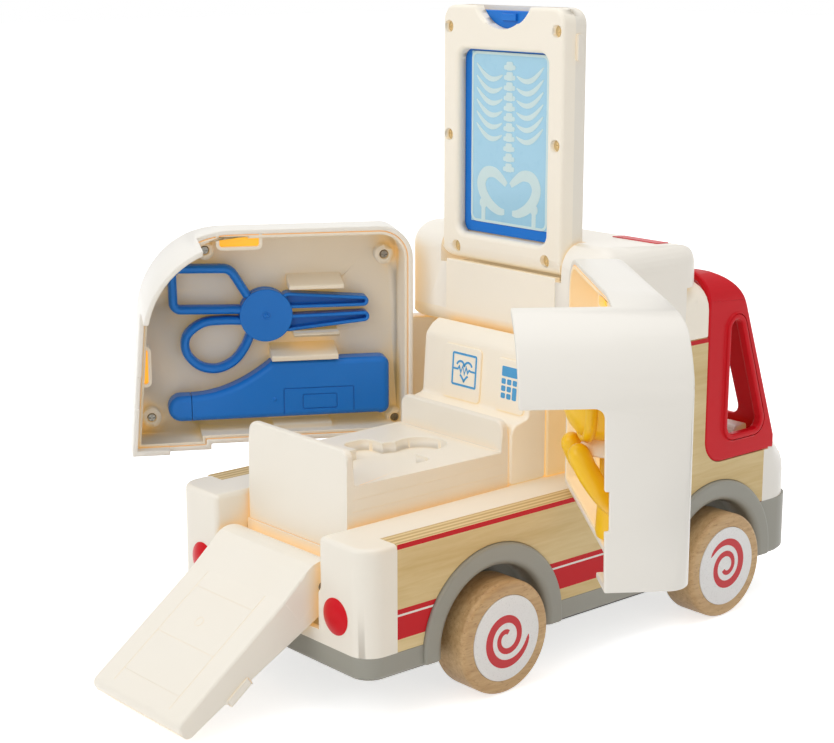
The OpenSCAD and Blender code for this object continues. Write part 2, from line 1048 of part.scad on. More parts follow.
module ramp_pin() {
    color("silver")
        rod_y(ramp_x, ramp_z, pin_r, -channel_half - skirt_wall, channel_half + skirt_wall);
}

// Place on the bed's lying face where a small figure can rest
module lying_hollow() {
    head_half = bed_w / 6;
    trunk = bed_len / 2;
    translate([-bed_rear + 2 * trunk - 2 * board_t - head_half - bed_gap, 0])
        circle(head_half);
    translate([-bed_rear + trunk - bed_gap, 0])
        round_rect(trunk, bed_w / 3, bed_w / 8);
    translate([-bed_rear + trunk + board_t, 0])
        round_rect(trunk / 3, bed_w * 2 / 3, bed_w / 14);
    for (side = [-1, 1])
        translate([-bed_rear + trunk / 3 + board_t, side * bed_w / 9])
            round_rect(trunk / 2, bed_w / 7, bed_w / 16);
}

module bed() {
    hollow = 5;
    half = bed_w / 2;
    color(cream)
        difference() {
            union() {
                span(-bed_rear, bed_front, -half, half, bed_z, lying_z);
                span(-bed_rear, board_t - bed_rear, -half, half, bed_z, lying_z + board_h);
                span(bed_front - board_t, bed_front, -half, half, bed_z, lying_z + board_h - ledge_in);
            }
            translate([0, 0, lying_z - hollow])
                linear_extrude(hollow + overrun)
                    lying_hollow();
            span(wall - bed_rear, bed_front - wall, wall - half, half - wall, bed_z - overrun,
                lying_z - hollow - wall);
        }
}

// Viewer panel, seen from the rear: rounded rectangle that ends in the hinge barrel
module panel_form(x0, x1) {
    intersection() {
        along_x(x0, x1)
            translate([0, panel_z + (panel_len - panel_r) / 2])
                round_rect(panel_w, panel_len + panel_r, panel_corner);
        union() {
            span(x0, x1, -panel_w, panel_w, panel_z, panel_z + panel_len);
            rod_y(0, panel_z, panel_r, -panel_w, panel_w);
        }
    }
}

module panel_cuts() {
    span(-slot_t, slot_t, -slot_half, slot_half, panel_z + slot_foot - fit, panel_z + panel_len + overrun);
    rod_y(0, panel_z, hinge_r + run, -panel_w, panel_w);
    rod_x(0, panel_z + panel_len + thumb_up, thumb_r, -panel_t, 0);
}

module panel_screw_places() {
    for (i = [0:len(screw_rows) - 1], side = [-1, 1])
        translate([-panel_r, side * screw_halves[i], panel_z + screw_rows[i]])
            rotate([0, 90, 0])
                children();
}

module panel_frame() {
    color(cream)
        difference() {
            panel_form(-panel_r, 0);
            panel_cuts();
            along_x(-panel_t, 0)
                translate([0, window_z + window_h / 2])
                    round_rect(window_w, window_h, panel_corner - ledge_in);
            panel_screw_places()
                translate([0, 0, -overrun])
                    cylinder(r = panel_screw_r + seat / 2, h = overrun + panel_screw_deep);
        }
}

module panel_back() {
    color(cream)
        difference() {
            union() {
                panel_form(0, panel_r);
                for (side = [0, 1])
                    mirror([0, side, 0])
                        span(0, panel_lug_x, panel_w / 2 - seat, panel_w / 2 + panel_lug,
                            panel_z + panel_lug_from, panel_z + panel_lug_to);
            }
            panel_cuts();
        }
}

module panel_screws() {
    color("silver")
        panel_screw_places()
            translate([0, 0, panel_screw_deep - screw_h])
                cylinder(r = panel_screw_r, h = screw_h);
}

module panel_pin() {
    color("silver")
        rod_y(0, panel_z, hinge_r, -notch_half - cap_wall, notch_half + cap_wall);
}

module film_holder() {
    color(blue)
        difference() {
            along_x(-holder_t, holder_t)
                translate([0, (film_foot + film_top) / 2])
                    round_rect(2 * holder_half, film_top - film_foot, panel_corner - ledge_in);
            span(-holder_t - overrun, film_t - holder_t, -film_w / 2 - seat, film_w / 2 + seat,
                film_z - seat, film_z + film_h + seat);
        }
}

module film() {
    color("lightblue")
        span(-holder_t, film_t - holder_t, -film_w / 2, film_w / 2, film_z, film_z + film_h);
}

// Closed rear box: its outline from the side, from above and from the rear
function rear_curve_x() = tab_tail() + (rear_r + sin(rear_lean) * (roof_z - rear_r - tab_z)) / cos(rear_lean);

function tab_tail() = -rear_len - split_y;

function shell_side(inset) = concat(
    [[shell_front - inset, tray_z + inset]],
    arc(shell_front - front_r, roof_z - front_r, front_r - inset, 0, 90),
    arc(rear_curve_x(), roof_z - rear_r, rear_r - inset, 90, 180 - rear_lean),
    [
        [tab_tail() + (inset + sin(rear_lean) * inset) / cos(rear_lean), tab_z + inset],
        [tab_len - rear_len - inset, tab_z + inset],
        [tab_len - rear_len - inset, tray_z + inset]
    ]);

function shell_plan(inset) = concat(
    [[shell_front, half_w - inset]],
    arc(tab_tail() + corner_r, half_w - corner_r, corner_r - inset, 90, 180),
    arc(tab_tail() + corner_r, corner_r - half_w, corner_r - inset, 180, 270),
    [[shell_front, inset - half_w]]);

module shell_form(inset) {
    intersection() {
        along_y(-half_w, half_w)
            polygon(shell_side(inset));
        translate([0, 0, deck_z])
            linear_extrude(roof_z)
                polygon(shell_plan(inset));
        along_x(-2 * rear_len, shell_front)
            polygon(arch_top(half_w, deck_z, roof_z, roof_r, inset));
    }
}

// What the left shell keeps of the closed rear box
module shell_keep() {
    far = 2 * rear_len;
    leg_front = -ply_rear - 2 * fit;
    span(-far, far, rim_y, half_w, deck_z, roof_z);
    span(-far, -panel_len - rim_gap, split_y, half_w, door_top, roof_z);
    span(-far, leg_front, door_half, half_w, deck_z, roof_z);
    along_x(-far, leg_front)
        translate([door_half - door_r, door_top - door_r])
            difference() {
                square(door_r);
                circle(door_r);
            }
}

module shell_knuckle() {
    difference() {
        union() {
            span(shell_front - skin, hinge_x, half_w - knuckle_depth, half_w, tray_z, knuckle_top);
            translate([hinge_x, hinge_y, tray_z])
                cylinder(r = knuckle_r, h = knuckle_top - tray_z);
        }
        translate([hinge_x, hinge_y, 0])
            cylinder(r = hinge_r + run, h = roof_z);
    }
}

// Sockets for the catches of the viewer panel and the ramp
module shell_sockets() {
    span(-panel_lug_to - socket_gap, socket_gap - panel_lug_from, 0, rim_y + panel_lug + socket_gap,
        panel_z - socket_gap, panel_z + panel_lug_x + socket_gap);
    span(-2 * rear_len, deck_step - ply_rear, 0, ramp_half + ramp_lug_out + socket_gap,
        ramp_z + ramp_lug_from - socket_gap, ramp_z + ramp_lug_to + socket_gap);
}

module shell_skin() {
    difference() {
        union() {
            intersection() {
                difference() {
                    shell_form(0);
                    shell_form(skin);
                }
                shell_keep();
            }
            shell_knuckle();
        }
        shell_sockets();
    }
}

// Inner tray of a shell: walls round the rim and a floor near the outer skin
module shell_liner() {
    edge = skin + liner_gap;
    difference() {
        intersection() {
            shell_form(edge);
            span(-2 * rear_len, 0, rim_y, floor_y + liner_t, 0, roof_z);
        }
        intersection() {
            shell_form(edge + liner_t);
            span(-2 * rear_len, 0, 0, floor_y, 0, roof_z);
        }
        shell_sockets();
    }
}

// Places of the liner screws, in the side view
screw_spots = [
    [shell_front - front_r * spot_share, roof_z - front_r],
    [rear_curve_x() - front_r * spot_share, roof_z - front_r * spot_share],
    [shell_front - spot_in, tray_z + spot_up],
    [tab_tail() + spot_rear, tray_z + spot_rear]
];

module at_screws(y) {
    for (spot = screw_spots)
        translate([spot[0], y, spot[1]])
            rotate([90, 0, 0])
                children();
}

// Tray with its screw bosses and what else stands in it, and the seats of the screws
module tray() {
    difference() {
        union() {
            shell_liner();
            intersection() {
                shell_form(skin + liner_gap);
                at_screws(floor_y)
                    cylinder(r = boss_r, h = boss_h);
            }
            children();
        }
        at_screws(floor_y)
            translate([0, 0, boss_h - screw_h])
                cylinder(r = screw_r + seat, h = boss_h);
    }
}

module shell_screws() {
    at_screws(floor_y)
        translate([0, 0, boss_h - screw_h])
            cylinder(r = screw_r, h = screw_h - seat);
}

module hinge_pin() {
    translate([hinge_x, hinge_y, deck_z - pin_sink])
        cylinder(r = hinge_r, h = cap_bottom + base_h - overrun - deck_z + pin_sink);
}

module left_pose() {
    translate([hinge_x, hinge_y, 0])
        rotate([0, 0, -left_open])
            translate([-hinge_x, -hinge_y, 0])
                children();
}

module right_pose() {
    mirror([0, 1, 0])
        translate([hinge_x, hinge_y, 0])
            rotate([0, 0, -right_open])
                translate([-hinge_x, -hinge_y, 0])
                    children();
}

module left_shell() {
    color(white)
        left_pose()
            shell_skin();
}

module right_shell() {
    color(white)
        right_pose()
            shell_skin();
}

// Upright clip beside a tool, from one end to the other along the tray
module clip(x0, x1, z) {
    span(x0, x1, floor_y - clip_h, floor_y, z, z + clip_t);
}

module left_liner() {
    color(cream)
        left_pose()
            tray() {
                clip(pivot_x + pivot_r, blade_tip_x - clip_h, blade_up_z + blade_r + clip_gap);
                clip(pivot_x + pivot_r, blade_tip_x - clip_h, blade_low_z - blade_r - clip_gap - clip_t);
                clip(thermo_neck_x, thermo_neck_x + 2 * clip_h, thermo_z1 + thermo_gap);
                clip(thermo_neck_x, thermo_neck_x + 2 * clip_h, thermo_z0 - thermo_gap - clip_t);
            }
}

module right_liner() {
    color(cream)
        right_pose()
            tray();
}

module left_screws() {
    color("silver")
        left_pose()
            shell_screws();
}

module right_screws() {
    color("silver")
        right_pose()
            shell_screws();
}

module left_hinge_pin() {
    color("silver")
        hinge_pin();
}

module right_hinge_pin() {
    color("silver")
        mirror([0, 1, 0])
            hinge_pin();
}

// Bar with round ends between two points of the tray's side view
module bar(x0, z0, r0, x1, z1, r1) {
    hull() {
        translate([x0, z0])
            circle(r = r0, $fn = 32);
        translate([x1, z1])
            circle(r = r1, $fn = 32);
    }
}

// Lay a tool's outline on the tray floor between two heights above it
module on_tray(low, high) {
    along_y(tool_y - high, tool_y - low)
        children();
}

module blade_view(z) {
    bar(pivot_x, pivot_z + sign(z - pivot_z) * blade_spread, blade_root, blade_tip_x, z, blade_r);
}

module scissor_arm() {
    mid = scissor_t / 2;
    color(blue)
        left_pose()
            difference() {
                union() {
                    on_tray(0, scissor_t)
                        difference() {
                            union() {
                                translate([(loop_x0 + loop_x1) / 2, (loop_z0 + loop_z1) / 2])
                                    difference() {
                                        round_rect(loop_x1 - loop_x0, loop_z1 - loop_z0, arm_w);
                                        round_rect(loop_x1 - loop_x0 - 2 * arm_w,
                                            loop_z1 - loop_z0 - 2 * arm_w, arm_w / 3);
                                    }
                                bar(loop_x1 - arm_w / 2, loop_z0 + arm_w, arm_w / 2, pivot_x,
                                    pivot_z, arm_w);
                                blade_view(blade_low_z);
                            }
                            circle_at_pivot(pivot_r + fit);
                        }
                    on_tray(0, mid - seat)
                        scissor_neck(loop_x1 - arm_w / 2, loop_z0 + arm_w, blade_low_z);
                }
                on_tray(-overrun, scissor_t + overrun)
                    circle_at_pivot(rivet_r + seat / 4);
            }
}

// Lap of one half at the pivot, with its two necks out to the hub's edge
module scissor_neck(x, z, blade_z) {
    intersection() {
        union() {
            circle_at_pivot(pivot_r);
            bar(x, z, arm_w / 2, pivot_x, pivot_z, arm_w / 2);
            blade_view(blade_z);
        }
        circle_at_pivot(pivot_r + 2 * fit);
    }
}

module circle_at_pivot(r) {
    translate([pivot_x, pivot_z])
        circle(r);
}

module scissor_lever() {
    mid = scissor_t / 2;
    color(blue)
        left_pose()
            difference() {
                union() {
                    on_tray(0, scissor_t)
                        difference() {
                            union() {
                                translate([ring_x, ring_z])
                                    difference() {
                                        scale([ring_stretch, 1])
                                            circle(ring_r);
                                        scale([ring_stretch, 1])
                                            circle(ring_r - arm_w);
                                    }
                                bar(ring_x + ring_r, ring_z + arm_w, arm_w / 2, pivot_x, pivot_z,
                                    arm_w / 2);
                                blade_view(blade_up_z);
                            }
                            circle_at_pivot(pivot_r + fit);
                            translate([ring_x, ring_z])
                                scale([ring_stretch, 1])
                                    circle(ring_r - arm_w);
                        }
                    on_tray(mid + seat, scissor_t)
                        scissor_neck(ring_x + ring_r, ring_z + arm_w, blade_up_z);
                }
                on_tray(-overrun, scissor_t + overrun)
                    circle_at_pivot(rivet_r + run);
            }
}

module scissor_rivet() {
    color(blue)
        left_pose()
            on_tray(seat, scissor_t + seat)
                circle_at_pivot(rivet_r);
}

// Side view of the thermometer: a blade-like handle that narrows to its probe
function thermo_view() = concat(
    arc(thermo_x1 - thermo_corner, thermo_z0 + thermo_corner, thermo_corner, 270, 360),
    arc(thermo_x1 - thermo_corner, thermo_z1 - thermo_corner, thermo_corner, 0, 90),
    [for (i = [0:arc_steps]) thermo_sweep(i / arc_steps)],
    arc(thermo_x0 + thermo_tip_r, thermo_z0 + thermo_tip_r + thermo_tilt, thermo_tip_r, 90, 270));

thermo_tilt = 3;

function thermo_sweep(share) = [
    thermo_neck_x + (thermo_cap_x - thermo_neck_x) * share,
    thermo_z0 + thermo_tilt + 2 * thermo_tip_r
        + (thermo_z1 - thermo_z0 - thermo_tilt - 2 * thermo_tip_r) * (1 - share) * (1 - share)
];

module thermometer() {
    color(blue)
        left_pose()
            difference() {
                on_tray(0, thermo_t)
                    polygon(thermo_view());
                on_tray(-overrun, thermo_t + overrun)
                    translate([thermo_x0 - overrun, thermo_z0])
                        square([thermo_cap_x - thermo_x0 + overrun, thermo_z1 - thermo_z0]);
            }
}

module thermometer_tip() {
    color(blue)
        left_pose()
            intersection() {
                on_tray(0, thermo_t)
                    polygon(thermo_view());
                on_tray(0, thermo_t)
                    translate([thermo_x0, thermo_z0])
                        square([thermo_cap_x - thermo_gap - thermo_x0, thermo_z1 - thermo_z0]);
            }
}

// Upright axis of the figure at a height above its feet
module on_figure(height) {
    right_pose()
        translate([figure_x, figure_y - head_r, figure_foot + height])
            children();
}

module figure_body() {
    trunk_r = head_r * trunk_share;
    limb_r = head_r * limb_share;
    color("gold")
        on_figure(0)
            union() {
                translate([0, head_r - trunk_r, 0])
                    cylinder(r1 = trunk_r, r2 = head_r * waist_share, h = trunk_h);
                for (side = [-1, 1])
                    translate([side * trunk_r, head_r - trunk_r - limb_r, trunk_h - limb_r])
                        rotate([180 + limb_lean, 0, 0])
                            cylinder(r = limb_r, h = limb_len);
            }
}

module figure_collar() {
    color("white")
        on_figure(trunk_h)
            cylinder(r1 = head_r * collar_share, r2 = head_r * waist_share, h = collar_h);
}

module figure_head() {
    color("gold")
        on_figure(trunk_h + collar_h + head_r - neck_sink)
            difference() {
                sphere(head_r);
                translate([0, 0, -head_r - overrun])
                    cylinder(r = head_r, h = neck_sink + overrun);
            }
}

chassis();
ply_left();
ply_right();
rear_body();
tail_light_left();
tail_light_right();
console();
monitor_pad();
keypad_pad();
tower();
cap_base();
roof_cap();
roof_mark();
window_frame();
nose();
dash();
cab_back();
headlight_left();
headlight_right();
axle_front();
axle_rear();
wheel(axle_x, 1);  // wheel_front_left
wheel(axle_x, -1);  // wheel_front_right
wheel(-axle_x, 1);  // wheel_rear_left
wheel(-axle_x, -1);  // wheel_rear_right
wheel_plate(axle_x, 1);  // wheel_plate_front_left
wheel_plate(axle_x, -1);  // wheel_plate_front_right
wheel_plate(-axle_x, 1);  // wheel_plate_rear_left
wheel_plate(-axle_x, -1);  // wheel_plate_rear_right
ramp_tread();
ramp_underside();
ramp_pin();
bed();
panel_frame();
panel_back();
panel_screws();
panel_pin();
film_holder();
film();
left_shell();
left_liner();
left_screws();
left_hinge_pin();
right_shell();
right_liner();
right_screws();
right_hinge_pin();
scissor_arm();
scissor_lever();
scissor_rivet();
thermometer();
thermometer_tip();
figure_body();
figure_head();
figure_collar();
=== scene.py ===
"""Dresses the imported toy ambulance: moulded plastics, lacquered woods, printed plates, plated screws."""
import json
import logging
import math
from dataclasses import dataclass, field
from enum import Enum
from typing import Callable, Iterable, Sequence

import bmesh
import bpy
from mathutils import Matrix, Vector


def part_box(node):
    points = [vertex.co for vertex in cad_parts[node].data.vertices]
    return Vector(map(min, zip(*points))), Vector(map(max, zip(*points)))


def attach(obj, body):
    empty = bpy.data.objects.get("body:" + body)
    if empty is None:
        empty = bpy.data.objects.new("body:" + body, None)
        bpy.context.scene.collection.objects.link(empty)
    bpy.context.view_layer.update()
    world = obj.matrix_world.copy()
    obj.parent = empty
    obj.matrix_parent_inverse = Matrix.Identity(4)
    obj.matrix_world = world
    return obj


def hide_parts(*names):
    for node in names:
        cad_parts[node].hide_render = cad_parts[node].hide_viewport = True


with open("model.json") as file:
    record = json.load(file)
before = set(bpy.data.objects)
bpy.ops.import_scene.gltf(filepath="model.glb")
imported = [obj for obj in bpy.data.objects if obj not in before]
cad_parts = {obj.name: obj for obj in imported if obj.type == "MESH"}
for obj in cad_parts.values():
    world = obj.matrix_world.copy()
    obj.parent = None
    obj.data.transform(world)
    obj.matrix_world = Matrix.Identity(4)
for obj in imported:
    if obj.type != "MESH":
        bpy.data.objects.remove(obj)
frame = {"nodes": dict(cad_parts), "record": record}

LOG = logging.getLogger("toy_ambulance")
MM = 0.001
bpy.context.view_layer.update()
RECORD = frame["record"]
SLOTS = {row["node"]: row["material_slot"] for row in RECORD["subparts"]}
BODY_OF = {node: body for body, nodes in RECORD["behaviour"]["bodies"].items() for node in nodes}
JOINTS = {row["name"]: row for row in RECORD["behaviour"]["joints"]}

Point2 = tuple[float, float]
Point3 = tuple[float, float, float]
Place = Callable[[float, float, float], Vector]
Value = float | bpy.types.NodeSocket


class Side(Enum):
    """Side of the vehicle, as the sign of Y."""

    LEFT = 1
    RIGHT = -1

    @property
    def word(self) -> str:
        """Gives the side's name as the nodes use it."""
        return self.name.lower()


def linear(code: str) -> tuple[float, float, float, float]:
    """Turns an sRGB hex colour into linear light.

    Args:
        code: six hex digits with a leading hash.

    Returns:
        Red, green, blue and an alpha of one.
    """
    parts = [int(code[i:i + 2], 16) / 255 for i in (1, 3, 5)]
    red, green, blue = (c / 12.92 if c <= 0.04045 else ((c + 0.055) / 1.055) ** 2.4 for c in parts)
    return red, green, blue, 1.0


def feed(tree: bpy.types.NodeTree, node: bpy.types.Node, inputs: dict) -> None:
    """Sets a node's inputs.

    Args:
        tree: the node's tree.
        node: the node.
        inputs: socket name or index to a value or an output socket.
    """
    for key, value in inputs.items():
        socket = node.inputs[key]
        if isinstance(value, bpy.types.NodeSocket):
            tree.links.new(value, socket)
        else:
            socket.default_value = value


def add_node(tree: bpy.types.NodeTree, kind: str, settings: dict | None = None,
             inputs: dict | None = None) -> bpy.types.Node:
    """Adds one node with its settings and its inputs, each a value or another node's output.

    Args:
        tree: the tree that gets the node.
        kind: the node's type name.
        settings: attributes of the node.
        inputs: socket name or index to a value or an output socket.

    Returns:
        The new node.
    """
    node = tree.nodes.new(kind)
    for name, value in (settings or {}).items():
        setattr(node, name, value)
    feed(tree, node, inputs or {})
    return node


def maths(tree: bpy.types.NodeTree, operation: str, *values: Value) -> bpy.types.NodeSocket:
    """Adds one sum of values or sockets and gives its result."""
    return add_node(tree, "ShaderNodeMath", {"operation": operation},
                    dict(enumerate(values))).outputs["Value"]


def ranged(tree: bpy.types.NodeTree, value: bpy.types.NodeSocket, start: float = 0.0, end: float = 1.0,
           low: float = 0.0, high: float = 1.0) -> bpy.types.NodeSocket:
    """Maps the values from start to end onto those from low to high."""
    return add_node(tree, "ShaderNodeMapRange", inputs={
        "Value": value, "From Min": start, "From Max": end, "To Min": low, "To Max": high}).outputs["Result"]


def mixed(tree: bpy.types.NodeTree, share: Value, first: Value | str, second: Value | str,
          kind: str = "RGBA") -> bpy.types.NodeSocket:
    """Mixes two colours, each a hex code or a socket, or two values where the kind is FLOAT."""
    first, second = (linear(item) if isinstance(item, str) else item for item in (first, second))
    return add_node(tree, "ShaderNodeMix", {"data_type": kind}, {
        "Factor": share, "A": first, "B": second}).outputs["Result"]


def noise(tree: bpy.types.NodeTree, place: bpy.types.NodeSocket, size_mm: float,
          **more: float) -> bpy.types.NodeSocket:
    """Adds a noise whose spots are about as large as size_mm and gives its value."""
    return add_node(tree, "ShaderNodeTexNoise", inputs={
        "Vector": place, "Scale": 1 / (size_mm * MM), "Detail": 2.0, **more}).outputs["Fac"]


def drawn_out(tree: bpy.types.NodeTree, place: bpy.types.NodeSocket, stretch: float) -> bpy.types.NodeSocket:
    """Stretches a pattern along X, by the place at which it is read."""
    return add_node(tree, "ShaderNodeMapping", inputs={
        "Vector": place, "Scale": (1 / stretch, 1.0, 1.0)}).outputs["Vector"]


def relief(tree: bpy.types.NodeTree, height: bpy.types.NodeSocket, deep_mm: float,
           strength: float) -> bpy.types.NodeSocket:
    """Turns heights into a fine relief of the surface."""
    return add_node(tree, "ShaderNodeBump", inputs={
        "Height": height, "Distance": deep_mm * MM, "Strength": strength}).outputs["Normal"]


def new_material(name: str) -> tuple[bpy.types.Material, bpy.types.NodeTree, bpy.types.Node]:
    """Makes an empty node material with one shader.

    Args:
        name: the real material's name.

    Returns:
        The material, its tree and its shader node.
    """
    material = bpy.data.materials.new(name)
    material.use_nodes = True
    tree = material.node_tree
    tree.nodes.clear()
    shader = add_node(tree, "ShaderNodeBsdfPrincipled")
    add_node(tree, "ShaderNodeOutputMaterial", inputs={"Surface": shader.outputs["BSDF"]})
    return material, tree, shader


@dataclass(frozen=True)
class MouldedPlastic:
    """Injection moulded plastic: even colour with faint flow mottling, and a fine spark-eroded texture that
    breaks up the gloss. Its recesses carry painted light and shade: ambient occlusion mixes a tint into
    their colour and adds emission there, darker for dark plastics and a warm glow for pale ones, in place
    of light bouncing between walls of the same colour. An even painted glow lifts shaded faces, in place
    of light bounced onto them or coming through thin walls."""

    name: str
    colour: str
    shade: str
    # painted light and shade: the colour that recesses are mixed towards, darker for dark plastics, warm and
    # glowing for pale ones
    crevice: str
    roughness: float = 0.36
    flow_mm: float = 38.0
    grit_mm: float = 0.45
    grit_height_mm: float = 0.006
    crevice_mm: float = 12.0
    crevice_share: float = 0.6
    shut_in: Point2 = (0.08, 0.66)
    uneven: float = 0.03
    # painted light: emission in recesses, then an even emission over the whole part that lifts its shaded
    # faces
    glow: float = 0.0
    bleed: float = 0.0
    shine: float = 0.4
    ior: float = 1.52
    coat: float = 0.0

    def material(self) -> bpy.types.Material:
        """Builds the node material.

        Returns:
            The material.
        """
        material, tree, shader = new_material(self.name)
        place = add_node(tree, "ShaderNodeTexCoord").outputs["Object"]
        tint = mixed(tree, noise(tree, place, self.flow_mm, Roughness=0.45), self.shade, self.colour)
        open_sky = add_node(tree, "ShaderNodeAmbientOcclusion", {"samples": 6}, {
            "Distance": self.crevice_mm * MM}).outputs["AO"]
        # share of painted recess shade and bounce light, from ambient occlusion: none on open faces, up to
        # the share in deep recesses
        depth = ranged(tree, open_sky, *self.shut_in, self.crevice_share, 0.0)
        grit = noise(tree, place, self.grit_mm)
        feed(tree, shader, {
            "Base Color": mixed(tree, depth, tint, self.crevice),
            "Emission Color": linear(self.crevice),
            "Emission Strength": maths(tree, "MULTIPLY_ADD", depth, self.glow, self.bleed),
            "Specular IOR Level": self.shine, "IOR": self.ior,
            "Roughness": ranged(tree, grit, low=self.roughness - self.uneven,
                                high=self.roughness + self.uneven),
            "Normal": relief(tree, grit, self.grit_height_mm, 0.3),
            "Coat Weight": self.coat, "Coat Roughness": 0.12})
        return material


@dataclass(frozen=True)
class PlatedSteel:
    """Plated steel: metallic, with short fine draw lines that blur its reflections."""

    name: str
    colour: str
    roughness: float = 0.32
    uneven: float = 0.1
    line_mm: float = 0.3

    def material(self) -> bpy.types.Material:
        """Builds the node material.

        Returns:
            The material.
        """
        material, tree, shader = new_material(self.name)
        place = add_node(tree, "ShaderNodeTexCoord").outputs["Object"]
        feed(tree, shader, {
            "Base Color": linear(self.colour), "Metallic": 1.0,
            "Roughness": ranged(tree, noise(tree, place, self.line_mm), low=self.roughness - self.uneven,
                                high=self.roughness + self.uneven)})
        return material


@dataclass(frozen=True)
class TurnedBeech:
    """Beech turned on a lathe and oiled: straight grain along X, short dark flecks, faint tool chatter."""

    name: str = "turned beech"
    light: str = "#D8B786"
    dark: str = "#B68E5E"
    fleck: str = "#996F43"
    roughness: float = 0.48
    grain_mm: float = 1.6
    year_mm: float = 12.3077
    stretch: float = 9.0
    fleck_mm: float = 0.9
    fleck_stretch: float = 3.3333
    chatter_mm: float = 0.06

    def material(self) -> bpy.types.Material:
        """Builds the node material.

        Returns:
            The material.
        """
        material, tree, shader = new_material(self.name)
        place = add_node(tree, "ShaderNodeTexCoord").outputs["Object"]
        along = drawn_out(tree, place, self.stretch)
        grain = noise(tree, along, self.grain_mm, Detail=4.0, Roughness=0.62, Distortion=0.3)
        years = maths(tree, "MULTIPLY_ADD", noise(tree, along, self.year_mm), 0.55, 0.22)
        rings = ranged(tree, mixed(tree, 0.5, grain, years, "FLOAT"), 0.36, 0.64)
        tint = mixed(tree, rings, self.dark, self.light)
        flecks = noise(tree, drawn_out(tree, place, self.fleck_stretch), self.fleck_mm, Detail=1.0)
        feed(tree, shader, {
            "Base Color": mixed(tree, ranged(tree, flecks, 0.62, 0.72, high=0.5), tint, self.fleck),
            "Roughness": self.roughness, "Normal": relief(tree, grain, self.chatter_mm, 0.4)})
        return material


@dataclass(frozen=True)
class StripedPlywood:
    """Birch plywood, lacquered, with red and white stripes printed on its outer face and its plies open at
    the edges: pale wavy face grain along X, darker glue lines across the edge."""

    name: str = "birch plywood"
    light: str = "#E9D3A2"
    dark: str = "#D3B67C"
    glue: str = "#B08D55"
    red: str = "#C9151F"
    white: str = "#EFE9E2"
    roughness: float = 0.45
    shine: float = 0.22
    grain_mm: float = 2.4
    grain_height_mm: float = 0.05
    cloud_mm: float = 16.0
    stretch: float = 11.0
    ply_mm: float = 1.55
    low_top_mm: float = 56.0
    tall_top_mm: float = 115.0
    step_x_mm: float = -7.0
    face_mm: float = 66.7
    thick_band_mm: Point2 = (15.5, 25.3)
    thin_band_mm: Point2 = (26.2, 28.4)
    top_band_mm: float = 2.1

    def material(self) -> bpy.types.Material:
        """Builds the node material.

        Returns:
            The material.
        """
        material, tree, shader = new_material(self.name)
        place = add_node(tree, "ShaderNodeTexCoord").outputs["Object"]
        x, y, z = add_node(tree, "ShaderNodeSeparateXYZ", inputs={"Vector": place}).outputs
        along = drawn_out(tree, place, self.stretch)
        grain = noise(tree, along, self.grain_mm, Detail=4.0, Roughness=0.6, Distortion=0.5)
        clouded = mixed(tree, 0.55, grain, noise(tree, along, self.cloud_mm), "FLOAT")
        wood = mixed(tree, ranged(tree, clouded, 0.3, 0.68), self.dark, self.light)
        ply = maths(tree, "PINGPONG", y, self.ply_mm * MM)
        edge = mixed(tree, ranged(tree, ply, 0.0, self.ply_mm * MM, 0.85, 0.0), self.light, self.glue)
        outer = maths(tree, "GREATER_THAN", maths(tree, "ABSOLUTE", y), (self.face_mm - 0.2) * MM)
        printed = mixed(tree, outer, edge, wood)
        tall, low = ((top - self.top_band_mm / 2) * MM for top in (self.tall_top_mm, self.low_top_mm))
        top = mixed(tree, maths(tree, "LESS_THAN", x, self.step_x_mm * MM), tall, low, "FLOAT")
        stripes = [(sum(band) / 2 * MM, (band[1] - band[0]) / 2, colour) for band, colour in (
            (self.thick_band_mm, self.red), (self.thin_band_mm, self.red),
            ((self.thick_band_mm[1], self.thin_band_mm[0]), self.white))]
        for centre, half, colour in (*stripes, (top, self.top_band_mm / 2, self.red)):
            ink = maths(tree, "MULTIPLY", maths(tree, "COMPARE", z, centre, half * MM), outer)
            printed = mixed(tree, ink, printed, colour)
        feed(tree, shader, {
            "Base Color": printed, "Roughness": self.roughness, "Specular IOR Level": self.shine,
            "Normal": relief(tree, grain, self.grain_height_mm, 0.35)})
        return material


@dataclass(frozen=True)
class PrintedCard:
    """Coated card or film with a fine fibre: matt, nearly even, with faint specks."""

    name: str
    colour: str
    speck: str
    roughness: float = 0.5
    speck_mm: float = 0.6
    fibre_mm: float = 0.01
    coat: float = 0.0

    def material(self) -> bpy.types.Material:
        """Builds the node material.

        Returns:
            The material.
        """
        material, tree, shader = new_material(self.name)
        place = add_node(tree, "ShaderNodeTexCoord").outputs["Object"]
        specks = noise(tree, place, self.speck_mm, Detail=3.0)
        feed(tree, shader, {
            "Base Color": mixed(tree, ranged(tree, specks, 0.55, 0.75, high=0.6), self.colour, self.speck),
            "Roughness": self.roughness, "Normal": relief(tree, specks, self.fibre_mm, 0.3),
            "Coat Weight": self.coat, "Coat Roughness": 0.1})
        return material


